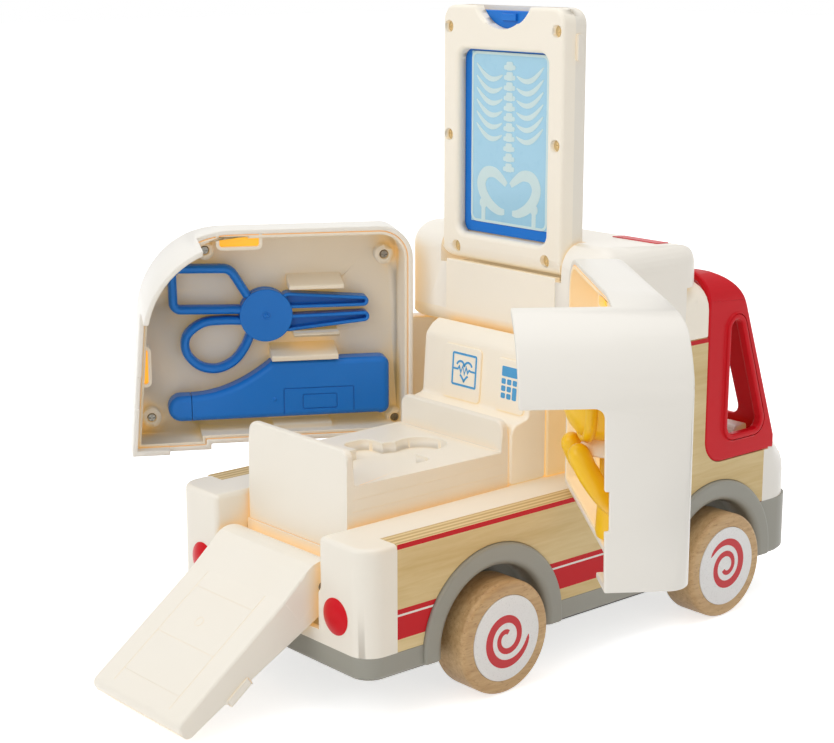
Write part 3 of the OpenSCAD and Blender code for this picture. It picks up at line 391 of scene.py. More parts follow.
class Finish(Enum):
    """The finishes of the toy, each with its recipe."""

    # In every moulded plastic below the fourth colour is painted recess light and shade: a darker tint for
    # dark plastics, a warm tint with painted glow for pale ones.
    CREAM = MouldedPlastic("moulded cream ABS", "#F6F0E4", "#F4EDDF", "#FBD084", glow=0.3)
    # painted light: an even glow lifts the shaded faces of the console, its pads, the cap base and the viewer
    # panel
    PANEL = MouldedPlastic("moulded cream panel ABS", "#F6F0E4", "#F4EDDF", "#F2DAAC", glow=0.16, bleed=0.09)
    # painted light: an even glow lifts the shaded sides of the roof cap
    CAP = MouldedPlastic("thin moulded white ABS", "#F4F0E8", "#F2EDE3", "#F7E3C0",
                         roughness=0.3, glow=0.22, bleed=0.06)
    # painted shade: a darker tan that stands for the shadow inside the screw bores
    SHADED = MouldedPlastic("cream ABS in a bore", "#DCC594", "#D6BD89", "#C9AA70", glow=0.06)
    WHITE = MouldedPlastic("moulded white ABS", "#F4F0E8", "#F2EDE3", "#FACB74", roughness=0.3, glow=0.3)
    TRAY = MouldedPlastic("moulded ivory ABS", "#F4EAD9", "#F1E5D0", "#F8C766", roughness=0.4, glow=0.32)
    # painted light: a warmer ivory with an even glow, for the tower, the console sides, the panel's
    # underside, the left skin's inner faces and the right tray
    WARM_TRAY = MouldedPlastic("thin moulded ivory ABS", "#F8E6C8", "#F6E1BE", "#FBCB70",
                               roughness=0.4, glow=0.3, bleed=0.16)
    GREY = MouldedPlastic("moulded grey ABS", "#9E9C91", "#98968B", "#77746A", roughness=0.42)
    RED = MouldedPlastic("moulded red ABS", "#D8101F", "#D20D1D", "#B00A1C",
                         roughness=0.3, crevice_share=0.4, shine=0.16)
    BLUE = MouldedPlastic("moulded blue ABS", "#187BDA", "#1675D2", "#1358AE",
                          roughness=0.34, crevice_share=0.5, shine=0.3)
    YELLOW = MouldedPlastic("moulded yellow vinyl", "#FCCB16", "#F9C40E", "#F2A208", roughness=0.3)
    # painted light: a glowing amber for the right skin's inner faces and the pocket backs, in place of warm
    # bounced light
    AMBER = MouldedPlastic("thin walled ivory ABS", "#FFCE4A", "#FDC740", "#FFC232", glow=0.3, bleed=0.25)
    SKIN = MouldedPlastic("moulded flesh vinyl", "#F3CDA8", "#EFC69F", "#D9A070", roughness=0.4)
    LAMP = MouldedPlastic("moulded clear lamp ABS", "#EDEFF0", "#E4E8EA", "#C4C9CC", roughness=0.16, coat=0.4)
    BEECH = TurnedBeech()
    BIRCH = StripedPlywood()
    CARD = PrintedCard("coated white card", "#F3F2F0", "#DAD8D5")
    RED_INK = PrintedCard("red screen ink", "#CB2830", "#C0242C", roughness=0.5)
    BLUE_INK = PrintedCard("blue screen ink", "#4AA3DC", "#4299D2", roughness=0.4)
    FILM = PrintedCard("blue print film", "#A5D6EE", "#9CD0EA", roughness=0.22, speck_mm=3.0, coat=0.5)
    PALE_INK = PrintedCard("pale screen ink", "#D3E9EA", "#CBE4E6", roughness=0.3)
    STEEL = PlatedSteel("zinc plated steel", "#8D8A82")
    BRASS = PlatedSteel("brass plated steel", "#EBD09A", roughness=0.55)


SLOT_FINISH = {
    "cream_abs": Finish.CREAM, "white_abs": Finish.WHITE, "grey_abs": Finish.GREY, "birch_ply": Finish.BIRCH,
    "red_abs": Finish.RED, "clear_lamp": Finish.LAMP, "beech": Finish.BEECH, "printed_plate": Finish.CARD,
    "steel": Finish.STEEL, "blue_abs": Finish.BLUE, "film_print": Finish.FILM, "yellow_abs": Finish.YELLOW,
    "figure_white": Finish.WHITE,
}
MADE: dict[Finish, bpy.types.Material] = {}


def material_of(finish: Finish) -> bpy.types.Material:
    """Gives a finish's material, made once."""
    if finish not in MADE:
        MADE[finish] = finish.value.material()
    return MADE[finish]


def rounded(corners: Sequence[Point3], steps: int = 6) -> list[Point2]:
    """Draws an outline whose corners are arcs.

    Args:
        corners: each corner's place and radius.
        steps: lines in each arc.

    Returns:
        The outline's points.
    """
    outline = []
    for i, (u, v, radius) in enumerate(corners):
        here = Vector((u, v))
        back = (Vector(corners[i - 1][:2]) - here).normalized()
        ahead = (Vector(corners[(i + 1) % len(corners)][:2]) - here).normalized()
        if radius <= 0:
            outline.append((u, v))
            continue
        half = back.angle(ahead) / 2
        centre = here + (back + ahead).normalized() * radius / math.sin(half)
        start = here + back * radius / math.tan(half) - centre
        end = here + ahead * radius / math.tan(half) - centre
        first = math.atan2(start.y, start.x)
        turn = (math.atan2(end.y, end.x) - first + math.pi) % math.tau - math.pi
        for k in range(steps + 1):
            angle = first + turn * k / steps
            outline.append((centre.x + radius * math.cos(angle), centre.y + radius * math.sin(angle)))
    return outline


def circle(centre: Point2, radius: float, steps: int = 40) -> list[Point2]:
    """Draws a circle as an outline."""
    return [(centre[0] + radius * math.cos(math.tau * k / steps),
             centre[1] + radius * math.sin(math.tau * k / steps))
            for k in range(steps)]


def capsule(start: Point3, end: Point3, steps: int = 12) -> list[Point2]:
    """Draws the outline of two circles and their common tangents.

    Args:
        start: first circle's place and radius.
        end: second circle's place and radius.
        steps: lines in each arc.

    Returns:
        The outline's points.
    """
    way = math.atan2(end[1] - start[1], end[0] - start[0])
    lean = math.acos((start[2] - end[2]) / math.hypot(end[0] - start[0], end[1] - start[1]))
    outline = []
    for (u, v, radius), first, last in ((end, -lean, lean), (start, lean, math.tau - lean)):
        for k in range(steps + 1):
            angle = way + first + (last - first) * k / steps
            outline.append((u + radius * math.cos(angle), v + radius * math.sin(angle)))
    return outline


def flowing(points: Sequence[Sequence[float]], steps: int = 8, closed: bool = False) -> list[tuple]:
    """Runs a smooth curve through points.

    Args:
        points: the points that it passes.
        steps: lines between two points.
        closed: whether it comes back to its start.

    Returns:
        The curve's points.
    """
    count = len(points)
    path = []
    for i in range(count if closed else count - 1):
        near = [Vector(points[j % count] if closed else points[min(max(j, 0), count - 1)])
                for j in (i - 1, i, i + 1, i + 2)]
        for k in range(steps):
            t = k / steps
            spot = 0.5 * (2 * near[1] + (near[2] - near[0]) * t
                          + (2 * near[0] - 5 * near[1] + 4 * near[2] - near[3]) * t * t
                          + (3 * near[1] - near[0] - 3 * near[2] + near[3]) * t ** 3)
            path.append(tuple(spot))
    if not closed:
        path.append(tuple(points[-1]))
    return path


def side_steps(path: Sequence[Point2], closed: bool) -> list[Vector]:
    """Finds the mitred step to the left at each point of a path.

    Args:
        path: the path's points.
        closed: whether it is a loop.

    Returns:
        One step for each point, one unit wide.
    """
    steps = []
    count = len(path)
    for i, point in enumerate(path):
        before = Vector(path[i - 1]) if closed or i else None
        after = Vector(path[(i + 1) % count]) if closed or i < count - 1 else None
        here = Vector(point)
        into = (here - before).normalized() if before else (after - here).normalized()
        out = (after - here).normalized() if after else into
        left, right = Vector((-into.y, into.x)), Vector((-out.y, out.x))
        steps.append((left + right) / max(0.4, 1 + left.dot(right)))
    return steps


def skin(bm: bmesh.types.BMesh, rings: list[list[bmesh.types.BMVert]], loop: bool) -> None:
    """Joins rings of points with faces and closes both ends unless the rings loop.

    Args:
        bm: the mesh.
        rings: closed rings of equal length.
        loop: whether the last ring joins the first.
    """
    count = len(rings[0])
    for i in range(len(rings) if loop else len(rings) - 1):
        low, high = rings[i], rings[(i + 1) % len(rings)]
        for j in range(count):
            bm.faces.new((low[j], low[(j + 1) % count], high[(j + 1) % count], high[j]))
    if not loop:
        bm.faces.new(rings[0][::-1])
        bm.faces.new(rings[-1])


def slab(bm: bmesh.types.BMesh, outline: Sequence[Point2], low: float, high: float, edge: float, place: Place,
         pocket: Point2 | None = None, steps: int = 4) -> None:
    """Adds a plate with rounded rims.

    Args:
        bm: the mesh.
        outline: its outline, anticlockwise.
        low: its lower level.
        high: its upper level.
        edge: radius of its rims.
        place: turns outline and level into a point in the scene.
        pocket: width of the rim and depth of a pocket in its upper face.
        steps: faces across a rim.
    """
    quarter = [math.pi / 2 * k / steps for k in range(steps + 1)]
    levels = [(edge * (1 - math.sin(a)), low + edge * (1 - math.cos(a))) for a in quarter]
    levels += [(edge * (1 - math.cos(a)), high - edge * (1 - math.sin(a))) for a in quarter]
    if pocket:
        levels += [(pocket[0], high), (pocket[0] + edge / 2, high - edge / 2),
                   (pocket[0] + edge / 2, high - pocket[1])]
    inward = side_steps(outline, True)
    rings = [[bm.verts.new(place(p[0] + s.x * d, p[1] + s.y * d, w)) for p, s in zip(outline, inward)]
             for d, w in levels]
    skin(bm, rings, False)


def rail(bm: bmesh.types.BMesh, path: Sequence[Point2], section: Sequence[Point2], place: Place,
         closed: bool = False, widths: Sequence[float] | None = None) -> None:
    """Sweeps a section along a flat path.

    Args:
        bm: the mesh.
        path: the path's points.
        section: closed outline of the section, as step to the left and level.
        place: turns path and level into a point in the scene.
        closed: whether the path is a loop.
        widths: share of the section's width at each point.
    """
    steps = side_steps(path, closed)
    rings = []
    for i, (p, s) in enumerate(zip(path, steps)):
        share = widths[i] if widths else 1.0
        rings.append([bm.verts.new(place(p[0] + s.x * k * share, p[1] + s.y * k * share, w))
                      for k, w in section])
    skin(bm, rings, closed)


def turned(bm: bmesh.types.BMesh, profile: Sequence[Point2], place: Place, steps: int = 40) -> None:
    """Turns a profile about its axis.

    Args:
        bm: the mesh.
        profile: radius and level of each point, end to end; an end on the axis is closed there.
        place: turns the two directions across and the level into a point in the scene.
        steps: faces round the axis.
    """
    ring: list[list[bmesh.types.BMVert]] = []
    for radius, level in profile:
        if radius < 1e-6:
            ring.append([bm.verts.new(place(0.0, 0.0, level))])
            continue
        ring.append([bm.verts.new(place(*p, level)) for p in circle((0.0, 0.0), radius, steps)])
    for low, high in zip(ring, ring[1:]):
        for j in range(steps):
            k = (j + 1) % steps
            corners = [low[j % len(low)], low[k % len(low)], high[k % len(high)], high[j % len(high)]]
            bm.faces.new(list(dict.fromkeys(corners)))
    for end in (ring[0], ring[-1]):
        if len(end) > 1:
            bm.faces.new(end)


def oval(width: float, low: float, high: float, steps: int = 14, power: float = 0.75) -> list[Point2]:
    """Draws a soft oval section.

    Args:
        width: full width.
        low: lowest level.
        high: highest level.
        steps: points in the section.
        power: 1 for an ellipse, less for squarer shoulders.

    Returns:
        The section's points.
    """
    section = []
    for k in range(steps):
        angle = math.tau * k / steps
        c, s = math.cos(angle), math.sin(angle)
        section.append((width / 2 * math.copysign(abs(c) ** power, c),
                        (low + high) / 2 + (high - low) / 2 * math.copysign(abs(s) ** power, s)))
    return section


def square(left: float, right: float, low: float, high: float) -> list[Point2]:
    """Draws a plain outline with four corners."""
    return [(left, low), (right, low), (right, high), (left, high)]


def flat(width: float, low: float, high: float) -> list[Point2]:
    """Draws a square section for a print line or a groove."""
    return square(-width / 2, width / 2, low, high)


def facing_x(u: float, v: float, w: float) -> Vector:
    """Puts an outline's point across X: its own directions are Y and Z, and its level is X."""
    return Vector((w, u, v)) * MM


def finished(bm: bmesh.types.BMesh, name: str, turn: bool = True) -> bpy.types.Mesh:
    """Turns a build into a mesh.

    Args:
        bm: the build, freed here.
        name: the mesh's name.
        turn: whether its faces are turned outwards.

    Returns:
        The mesh.
    """
    if turn:
        bmesh.ops.recalc_face_normals(bm, faces=bm.faces)
    mesh = bpy.data.meshes.new(name)
    bm.to_mesh(mesh)
    bm.free()
    return mesh


def linked(name: str, data: bpy.types.ID) -> bpy.types.Object:
    """Makes an object and puts it into the scene.

    Args:
        name: the object's name.
        data: its mesh, lamp or camera.

    Returns:
        The object.
    """
    thing = bpy.data.objects.new(name, data)
    bpy.context.scene.collection.objects.link(thing)
    return thing


def evaluated(host: bpy.types.Object) -> bpy.types.Mesh:
    """Gives an object's mesh with its modifiers carried out."""
    return bpy.data.meshes.new_from_object(host.evaluated_get(bpy.context.evaluated_depsgraph_get()))


@dataclass(frozen=True)
class Rounding:
    """One pass of edge rounding: its radius and which edges it takes, by their middle in mm and direction."""

    radius_mm: float
    picks: Callable[[Vector, Vector], bool] = field(default=lambda middle, way: True)
    segments: int = 3


def split_large_faces(bm: bmesh.types.BMesh, most: int = 20, passes: int = 8) -> None:
    """Halves faces with many corners across their long side, so that each fills without overlaps.

    Args:
        bm: the mesh to change.
        most: corners that a face may keep.
        passes: how often the halves may be halved again.
    """
    for _ in range(passes):
        for face in [face for face in bm.faces if len(face.verts) > most]:
            spots = [v.co for v in face.verts]
            low = [min(p[k] for p in spots) for k in range(3)]
            spans = [max(p[k] for p in spots) - low[k] for k in range(3)]
            axis = spans.index(max(spans))
            across = [float(k == axis) for k in range(3)]
            middle = [low[k] + spans[k] / 2 for k in range(3)]
            bmesh.ops.bisect_plane(bm, geom=[face, *face.edges, *face.verts], dist=1e-7, plane_co=middle,
                                   plane_no=across)


def softened(node: str, roundings: Sequence[Rounding], sharp_deg: float = 32.0,
             split_mm: float | None = None) -> bpy.types.Mesh:
    """Copies a CAD node's mesh with its sharp edges rounded, as a mould leaves them.

    Args:
        node: the CAD node.
        roundings: the passes, in order.
        sharp_deg: edges blunter than this stay as they are.
        split_mm: level at which upright edges are split, so that a rounding can end there.

    Returns:
        The new mesh.
    """
    sharp_angle = math.radians(sharp_deg)
    bm = bmesh.new()
    bm.from_mesh(frame["nodes"][node].data)
    bmesh.ops.remove_doubles(bm, verts=bm.verts, dist=0.001 * MM)
    bmesh.ops.dissolve_limit(bm, angle_limit=math.radians(1.0), verts=bm.verts, edges=bm.edges)
    if split_mm is not None:
        bmesh.ops.bisect_plane(bm, geom=bm.verts[:] + bm.edges[:] + bm.faces[:], dist=1e-7,
                               plane_co=(0.0, 0.0, split_mm * MM), plane_no=(0.0, 0.0, 1.0))
    for rounding in roundings:
        picked = []
        for edge in bm.edges:
            if not edge.is_manifold or edge.calc_face_angle(0.0) < sharp_angle:
                continue
            ends = [v.co / MM for v in edge.verts]
            if rounding.picks((ends[0] + ends[1]) / 2, (ends[1] - ends[0]).normalized()):
                picked.append(edge)
        bmesh.ops.bevel(bm, geom=picked, offset=rounding.radius_mm * MM, offset_type="OFFSET",
                        segments=rounding.segments, profile=0.5, affect="EDGES", clamp_overlap=False)
    split_large_faces(bm)
    return finished(bm, node + "_moulded", turn=False)


def carved(mesh: bpy.types.Mesh, cutter: bpy.types.Mesh, keep: bool = False) -> bpy.types.Mesh:
    """Cuts grooves out of a mesh, or keeps only what lies inside a form.

    Args:
        mesh: the mesh to cut.
        cutter: closed shapes to take away or to keep.
        keep: whether the inside of the cutter is kept.

    Returns:
        The cut mesh.
    """
    host = linked("carving", mesh)
    knife = linked("carving_knife", cutter)
    cut = host.modifiers.new("cut", "BOOLEAN")
    cut.operation = "INTERSECT" if keep else "DIFFERENCE"
    cut.solver = "EXACT"
    cut.object = knife
    result = evaluated(host)
    for item in (host, knife):
        bpy.data.objects.remove(item)
    return result


def joined(name: str, meshes: Sequence[bpy.types.Mesh], apart: bool = False) -> bpy.types.Mesh:
    """Puts several meshes into one.

    Args:
        name: the new mesh's name.
        meshes: the meshes.
        apart: whether each has its own material index.

    Returns:
        The joined mesh.
    """
    bm = bmesh.new()
    for index, mesh in enumerate(meshes):
        known = len(bm.faces)
        bm.from_mesh(mesh)
        bm.faces.ensure_lookup_table()
        for face in bm.faces[known:]:
            face.material_index = index if apart else 0
    return finished(bm, name, turn=False)


def place_piece(name: str, mesh: bpy.types.Mesh, body: str, slot: str, finishes: Sequence[Finish],
                stands_for: Iterable[str] = (), smooth_deg: float = 34.0, even: bool = True) -> None:
    """Puts a finished mesh into the scene on its body.

    Args:
        name: the piece's name.
        mesh: its mesh, already in place.
        body: the body that it rides on.
        slot: the record's material slot; not used.
        finishes: its finishes, in the order of the material indices.
        stands_for: CAD nodes that it replaces.
        smooth_deg: edges sharper than this stay sharp.
        even: whether large faces rule the shading of the small ones beside them.
    """
    mesh.materials.clear()
    for finish in finishes:
        mesh.materials.append(material_of(finish))
    mesh.shade_smooth()
    mesh.set_sharp_from_angle(angle=math.radians(smooth_deg))
    piece = linked(name, mesh)
    if even:
        level = piece.modifiers.new("even_normals", "WEIGHTED_NORMAL")
        level.keep_sharp = True
        piece.data = evaluated(piece)
        piece.modifiers.clear()
    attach(piece, body)
    for node in stands_for:
        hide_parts(node)
    LOG.info("%s rides on %s with %d faces", name, body, len(mesh.polygons))


def moulded_piece(node: str, roundings: Sequence[Rounding], finish: Finish | None = None,
                  extra: Sequence[bpy.types.Mesh] = (), cutter: bpy.types.Mesh | None = None,
                  inside: bpy.types.Mesh | None = None, sharp_deg: float = 32.0,
                  second: tuple[Finish, Callable[[Vector, Vector], bool]] | None = None, even: bool = True,
                  split_mm: float | None = None) -> None:
    """Replaces a CAD node by its softened copy, with added forms and grooves.

    Args:
        node: the CAD node.
        roundings: its rounding passes.
        finish: its finish, or None for that of its slot.
        extra: further closed forms of the same finish.
        cutter: grooves to cut.
        inside: form that the piece is kept inside of.
        sharp_deg: edges blunter than this stay as they are.
        second: another finish and its test for a face's middle in mm and normal.
        even: whether large faces rule the shading of the small ones beside them.
        split_mm: level at which upright edges are split.
    """
    mesh = softened(node, roundings, sharp_deg, split_mm)
    if inside:
        mesh = carved(mesh, inside, keep=True)
    if cutter:
        mesh = carved(mesh, cutter)
    if extra:
        mesh = joined(node + "_moulded", [mesh, *extra])
    finishes = [finish or SLOT_FINISH[SLOTS[node]]]
    if second:
        finishes.append(second[0])
        for face in mesh.polygons:
            face.material_index = int(second[1](face.center / MM, face.normal))
    place_piece(node + "_piece", mesh, BODY_OF[node], SLOTS[node], finishes, [node], sharp_deg + 2, even)


def cushion(low: Point3, high: Point3, radius: float) -> bpy.types.Mesh:
    """Makes a block whose edges and corners are all round.

    Args:
        low: its lowest corner in mm.
        high: its highest corner in mm.
        radius: radius of its edges in mm.

    Returns:
        The mesh.
    """
    size = Vector(high) - Vector(low)
    bm = bmesh.new()
    bmesh.ops.create_cube(bm, size=1.0, matrix=Matrix.Translation((Vector(low) + size / 2) * MM)
                          @ Matrix.Diagonal((*(size * MM), 1.0)))
    bmesh.ops.bevel(bm, geom=bm.edges[:], offset=radius * MM, offset_type="OFFSET", segments=8, profile=0.5,
                    affect="EDGES", clamp_overlap=False)
    return finished(bm, "cushion")


def box_mm(node: str) -> tuple[Vector, Vector]:
    """Gives a CAD node's lowest and highest corners in mm."""
    low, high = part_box(node)
    return Vector(low) / MM, Vector(high) / MM


def joint_mm(name: str) -> Vector:
    """Gives a joint's place in mm."""
    return Vector(JOINTS[name]["pos_m"]) / MM


def placed(matrix: Matrix) -> Place:
    """Makes a place function from a matrix in mm."""
    return lambda u, v, w: (matrix @ Vector((u, v, w))) * MM


def node_tree(name: str, *sizes: str) -> tuple[bpy.types.NodeTree, bpy.types.NodeOutputs]:
    """Starts a Geometry Nodes tree.

    Args:
        name: the tree's name.
        sizes: names of its sizes.

    Returns:
        The tree and what it is given: the start's geometry, the sizes and the finish.
    """
    tree = bpy.data.node_groups.new(name, "GeometryNodeTree")
    tree.interface.new_socket("Geometry", in_out="INPUT", socket_type="NodeSocketGeometry")
    for label in sizes:
        tree.interface.new_socket(label, in_out="INPUT", socket_type="NodeSocketFloat")
    tree.interface.new_socket("Finish", in_out="INPUT", socket_type="NodeSocketMaterial")
    tree.interface.new_socket("Geometry", in_out="OUTPUT", socket_type="NodeSocketGeometry")
    return tree, add_node(tree, "NodeGroupInput").outputs


def end_tree(tree: bpy.types.NodeTree, shape: bpy.types.NodeSocket, finish: bpy.types.NodeSocket) -> None:
    """Ends a tree in real geometry with its material.

    Args:
        tree: the tree.
        shape: the geometry so far.
        finish: the material's socket.
    """
    real = add_node(tree, "GeometryNodeRealizeInstances", inputs={"Geometry": shape})
    dressed = add_node(tree, "GeometryNodeSetMaterial", inputs={
        "Geometry": real.outputs["Geometry"], "Material": finish})
    add_node(tree, "NodeGroupOutput", inputs={"Geometry": dressed.outputs["Geometry"]})


def grown(tree: bpy.types.NodeTree, values: dict[str, object],
          points: Sequence[Point3] = ()) -> bpy.types.Mesh:
    """Runs a Geometry Nodes tree once and keeps its result as a plain mesh.

    Args:
        tree: the tree.
        values: its named inputs.
        points: vertices that it starts from.

    Returns:
        The mesh.
    """
    seed = bpy.data.meshes.new("seed_points")
    seed.from_pydata([Vector(p) * MM for p in points], [], [])
    host = linked("grower", seed)
    modifier = host.modifiers.new("grow", "NODES")
    modifier.node_group = tree
    for item in tree.interface.items_tree:
        if item.in_out == "INPUT" and item.name in values:
            modifier[item.identifier] = values[item.name]
    mesh = evaluated(host)
    bpy.data.objects.remove(host)
    return mesh


def screw_middles(node: str, back: Matrix, axis: int, reach_mm: float = 6.0) -> list[Vector]:
    """Finds the middle of each screw of a CAD node.

    Args:
        node: the CAD node of the screws.
        back: matrix from the toy to the piece that carries the screws.
        axis: the carrier's direction that the screws run in.
        reach_mm: distance within which points belong to one screw.

    Returns:
        The middles in mm, in the carrier's directions.
    """
    spots = [back @ (vertex.co / MM) for vertex in frame["nodes"][node].data.vertices]
    across = Vector([float(k != axis) for k in range(3)])
    middles: list[Vector] = []
    for spot in spots:
        if all(((spot - middle) * across).length >= reach_mm for middle in middles):
            near = [p for p in spots if (p - spot).length < reach_mm]
            middles.append(sum(near, Vector()) / len(near))
    return middles


@dataclass
class ScrewHeads:
    """Cross-recess pan heads, one at each point, along +Z."""

    radius_mm: float
    height_mm: float
    crown_share: float = 0.78
    slot_share: float = 0.69
    width_share: float = 0.156

    def tree(self) -> bpy.types.NodeTree:
        """Builds the tree: a chamfered head less two crossed bars, on every point.

        Returns:
            The tree.
        """
        tree, given = node_tree("cross_recess_screws", "Radius", "Height", "Slot Length", "Slot Width")
        head = add_node(tree, "GeometryNodeMeshCone", inputs={
            "Vertices": 32, "Side Segments": 3, "Depth": given["Height"], "Radius Bottom": given["Radius"],
            "Radius Top": maths(tree, "MULTIPLY", given["Radius"], self.crown_share)})
        lift = add_node(tree, "ShaderNodeCombineXYZ", inputs={"Z": given["Height"]})
        bars = add_node(tree, "GeometryNodeJoinGeometry")
        for along, across in (("X", "Y"), ("Y", "X")):
            bar = add_node(tree, "ShaderNodeCombineXYZ", inputs={
                along: given["Slot Length"], across: given["Slot Width"], "Z": given["Height"]})
            block = add_node(tree, "GeometryNodeMeshCube", inputs={"Size": bar.outputs["Vector"]})
            raised = add_node(tree, "GeometryNodeTransform", inputs={
                "Geometry": block.outputs["Mesh"], "Translation": lift.outputs["Vector"]})
            tree.links.new(raised.outputs["Geometry"], bars.inputs["Geometry"])
        cut = add_node(tree, "GeometryNodeMeshBoolean", {"operation": "DIFFERENCE", "solver": "EXACT"}, {
            "Mesh 1": head.outputs["Mesh"], "Mesh 2": bars.outputs["Geometry"], "Self Intersection": True})
        set_on = add_node(tree, "GeometryNodeInstanceOnPoints", inputs={
            "Points": given["Geometry"], "Instance": cut.outputs["Mesh"]})
        end_tree(tree, set_on.outputs["Instances"], given["Finish"])
        return tree

    def mesh(self, points: Sequence[Point3], finish: Finish) -> bpy.types.Mesh:
        """Makes the heads at their points.

        Args:
            points: the middle of each head's foot.
            finish: the screws' finish.

        Returns:
            The mesh.
        """
        return grown(self.tree(), {
            "Radius": self.radius_mm * MM, "Height": self.height_mm * MM,
            "Slot Length": 2 * self.radius_mm * self.slot_share * MM,
            "Slot Width": 2 * self.radius_mm * self.width_share * MM,
            "Finish": material_of(finish)}, points)


@dataclass
class SpiralPrint:
    """A spiral printed on a wheel plate, thick in its run and pointed at its outer end."""

    turns: float = 1.8
    inner_mm: float = 2.6
    outer_mm: float = 12.8
    stroke_mm: float = 3.9
    ink_mm: float = 0.12
    taper: tuple[Point2, ...] = ((0.0, 0.55), (0.3, 0.75), (0.65, 1.0), (0.85, 0.8), (1.0, 0.06))

    def mesh(self, finish: Finish) -> bpy.types.Mesh:
        """Grows the spiral in the XY plane.

        Args:
            finish: the ink.

        Returns:
            The mesh.
        """
        tree, given = node_tree("spiral_print", "Turns", "Inner Radius", "Outer Radius", "Stroke", "Ink")
        run = add_node(tree, "GeometryNodeCurveSpiral", inputs={
            "Resolution": 48, "Rotations": given["Turns"], "Start Radius": given["Inner Radius"],
            "End Radius": given["Outer Radius"], "Height": 0.0})
        along = add_node(tree, "GeometryNodeSplineParameter")
        taper = add_node(tree, "ShaderNodeFloatCurve", inputs={"Value": along.outputs["Factor"]})
        curve = taper.mapping.curves[0]
        curve.points[0].location, curve.points[1].location = self.taper[0], self.taper[-1]
        for knot in self.taper[1:-1]:
            curve.points.new(*knot)
        taper.mapping.update()
        upright = add_node(tree, "GeometryNodeSetCurveNormal", {"mode": "Z_UP"}, {
            "Curve": run.outputs["Curve"]})
        pen = add_node(tree, "GeometryNodeCurvePrimitiveQuadrilateral", inputs={
            "Width": given["Stroke"], "Height": given["Ink"]})
        swept = add_node(tree, "GeometryNodeCurveToMesh", inputs={
            "Curve": upright.outputs["Curve"], "Profile Curve": pen.outputs["Curve"],
            "Scale": taper.outputs["Value"], "Fill Caps": True})
        end_tree(tree, swept.outputs["Mesh"], given["Finish"])
        return grown(tree, {
            "Turns": self.turns, "Inner Radius": self.inner_mm * MM, "Outer Radius": self.outer_mm * MM,
            "Stroke": self.stroke_mm * MM, "Ink": self.ink_mm * MM, "Finish": material_of(finish)})


@dataclass
class PrintedTiles:
    """Round-cornered printed tiles, one at each point, in the XY plane."""

    width_mm: float
    height_mm: float
    corner_mm: float
    ink_mm: float = 0.12

    def mesh(self, points: Sequence[Point3], finish: Finish) -> bpy.types.Mesh:
        """Grows the tiles.

        Args:
            points: the middle of each tile.
            finish: the ink.

        Returns:
            The mesh.
        """
        tree, given = node_tree("printed_tiles", "Width", "Height", "Corner", "Ink")
        edge = add_node(tree, "GeometryNodeCurvePrimitiveQuadrilateral", inputs={
            "Width": given["Width"], "Height": given["Height"]})
        soft = add_node(tree, "GeometryNodeFilletCurve", {"mode": "POLY"}, {
            "Curve": edge.outputs["Curve"], "Radius": given["Corner"], "Count": 4})
        face = add_node(tree, "GeometryNodeFillCurve", {"mode": "NGONS"}, {"Curve": soft.outputs["Curve"]})
        raised = add_node(tree, "GeometryNodeExtrudeMesh", inputs={
            "Mesh": face.outputs["Mesh"], "Offset Scale": given["Ink"], "Individual": False})
        under = add_node(tree, "GeometryNodeFlipFaces", inputs={"Mesh": face.outputs["Mesh"]})
        both = add_node(tree, "GeometryNodeJoinGeometry")
        tree.links.new(raised.outputs["Mesh"], both.inputs["Geometry"])
        tree.links.new(under.outputs["Mesh"], both.inputs["Geometry"])
        whole = add_node(tree, "GeometryNodeMergeByDistance", inputs={
            "Geometry": both.outputs["Geometry"], "Distance": 0.001 * MM})
        set_on = add_node(tree, "GeometryNodeInstanceOnPoints", inputs={
            "Points": given["Geometry"], "Instance": whole.outputs["Geometry"]})
        end_tree(tree, set_on.outputs["Instances"], given["Finish"])
        return grown(tree, {
            "Width": self.width_mm * MM, "Height": self.height_mm * MM, "Corner": self.corner_mm * MM,
            "Ink": self.ink_mm * MM, "Finish": material_of(finish)}, points)


@dataclass
class Chassis:
    """Grey chassis with rounded wheel arches, and the two axles."""

    axle_x_mm: float = 71.25
    axle_z_mm: float = 5.0
    arch_in_mm: float = 30.0
    arch_out_mm: float = 40.0
    face_mm: float = 68.5
    lip_mm: float = 3.6
    outer_lip_mm: float = 1.5
    edge_mm: float = 0.9

    def on_arch(self, middle: Vector, radius: float) -> bool:
        """Tells whether an edge's middle lies on an arch's rim."""
        reach = math.hypot(abs(middle.x) - self.axle_x_mm, middle.z - self.axle_z_mm)
        return abs(reach - radius) < 0.4 and abs(abs(middle.y) - self.face_mm) < 0.1

    def build(self) -> None:
        """Makes the chassis and its axles."""
        moulded_piece("chassis", [
            Rounding(self.lip_mm, lambda m, w: self.on_arch(m, self.arch_in_mm), 5),
            Rounding(self.outer_lip_mm, lambda m, w: self.on_arch(m, self.arch_out_mm), 4),
            Rounding(self.edge_mm, lambda m, w: m.z < 1.2, 3),
        ])
        for node in ("axle_front", "axle_rear"):
            moulded_piece(node, [Rounding(0.4)])


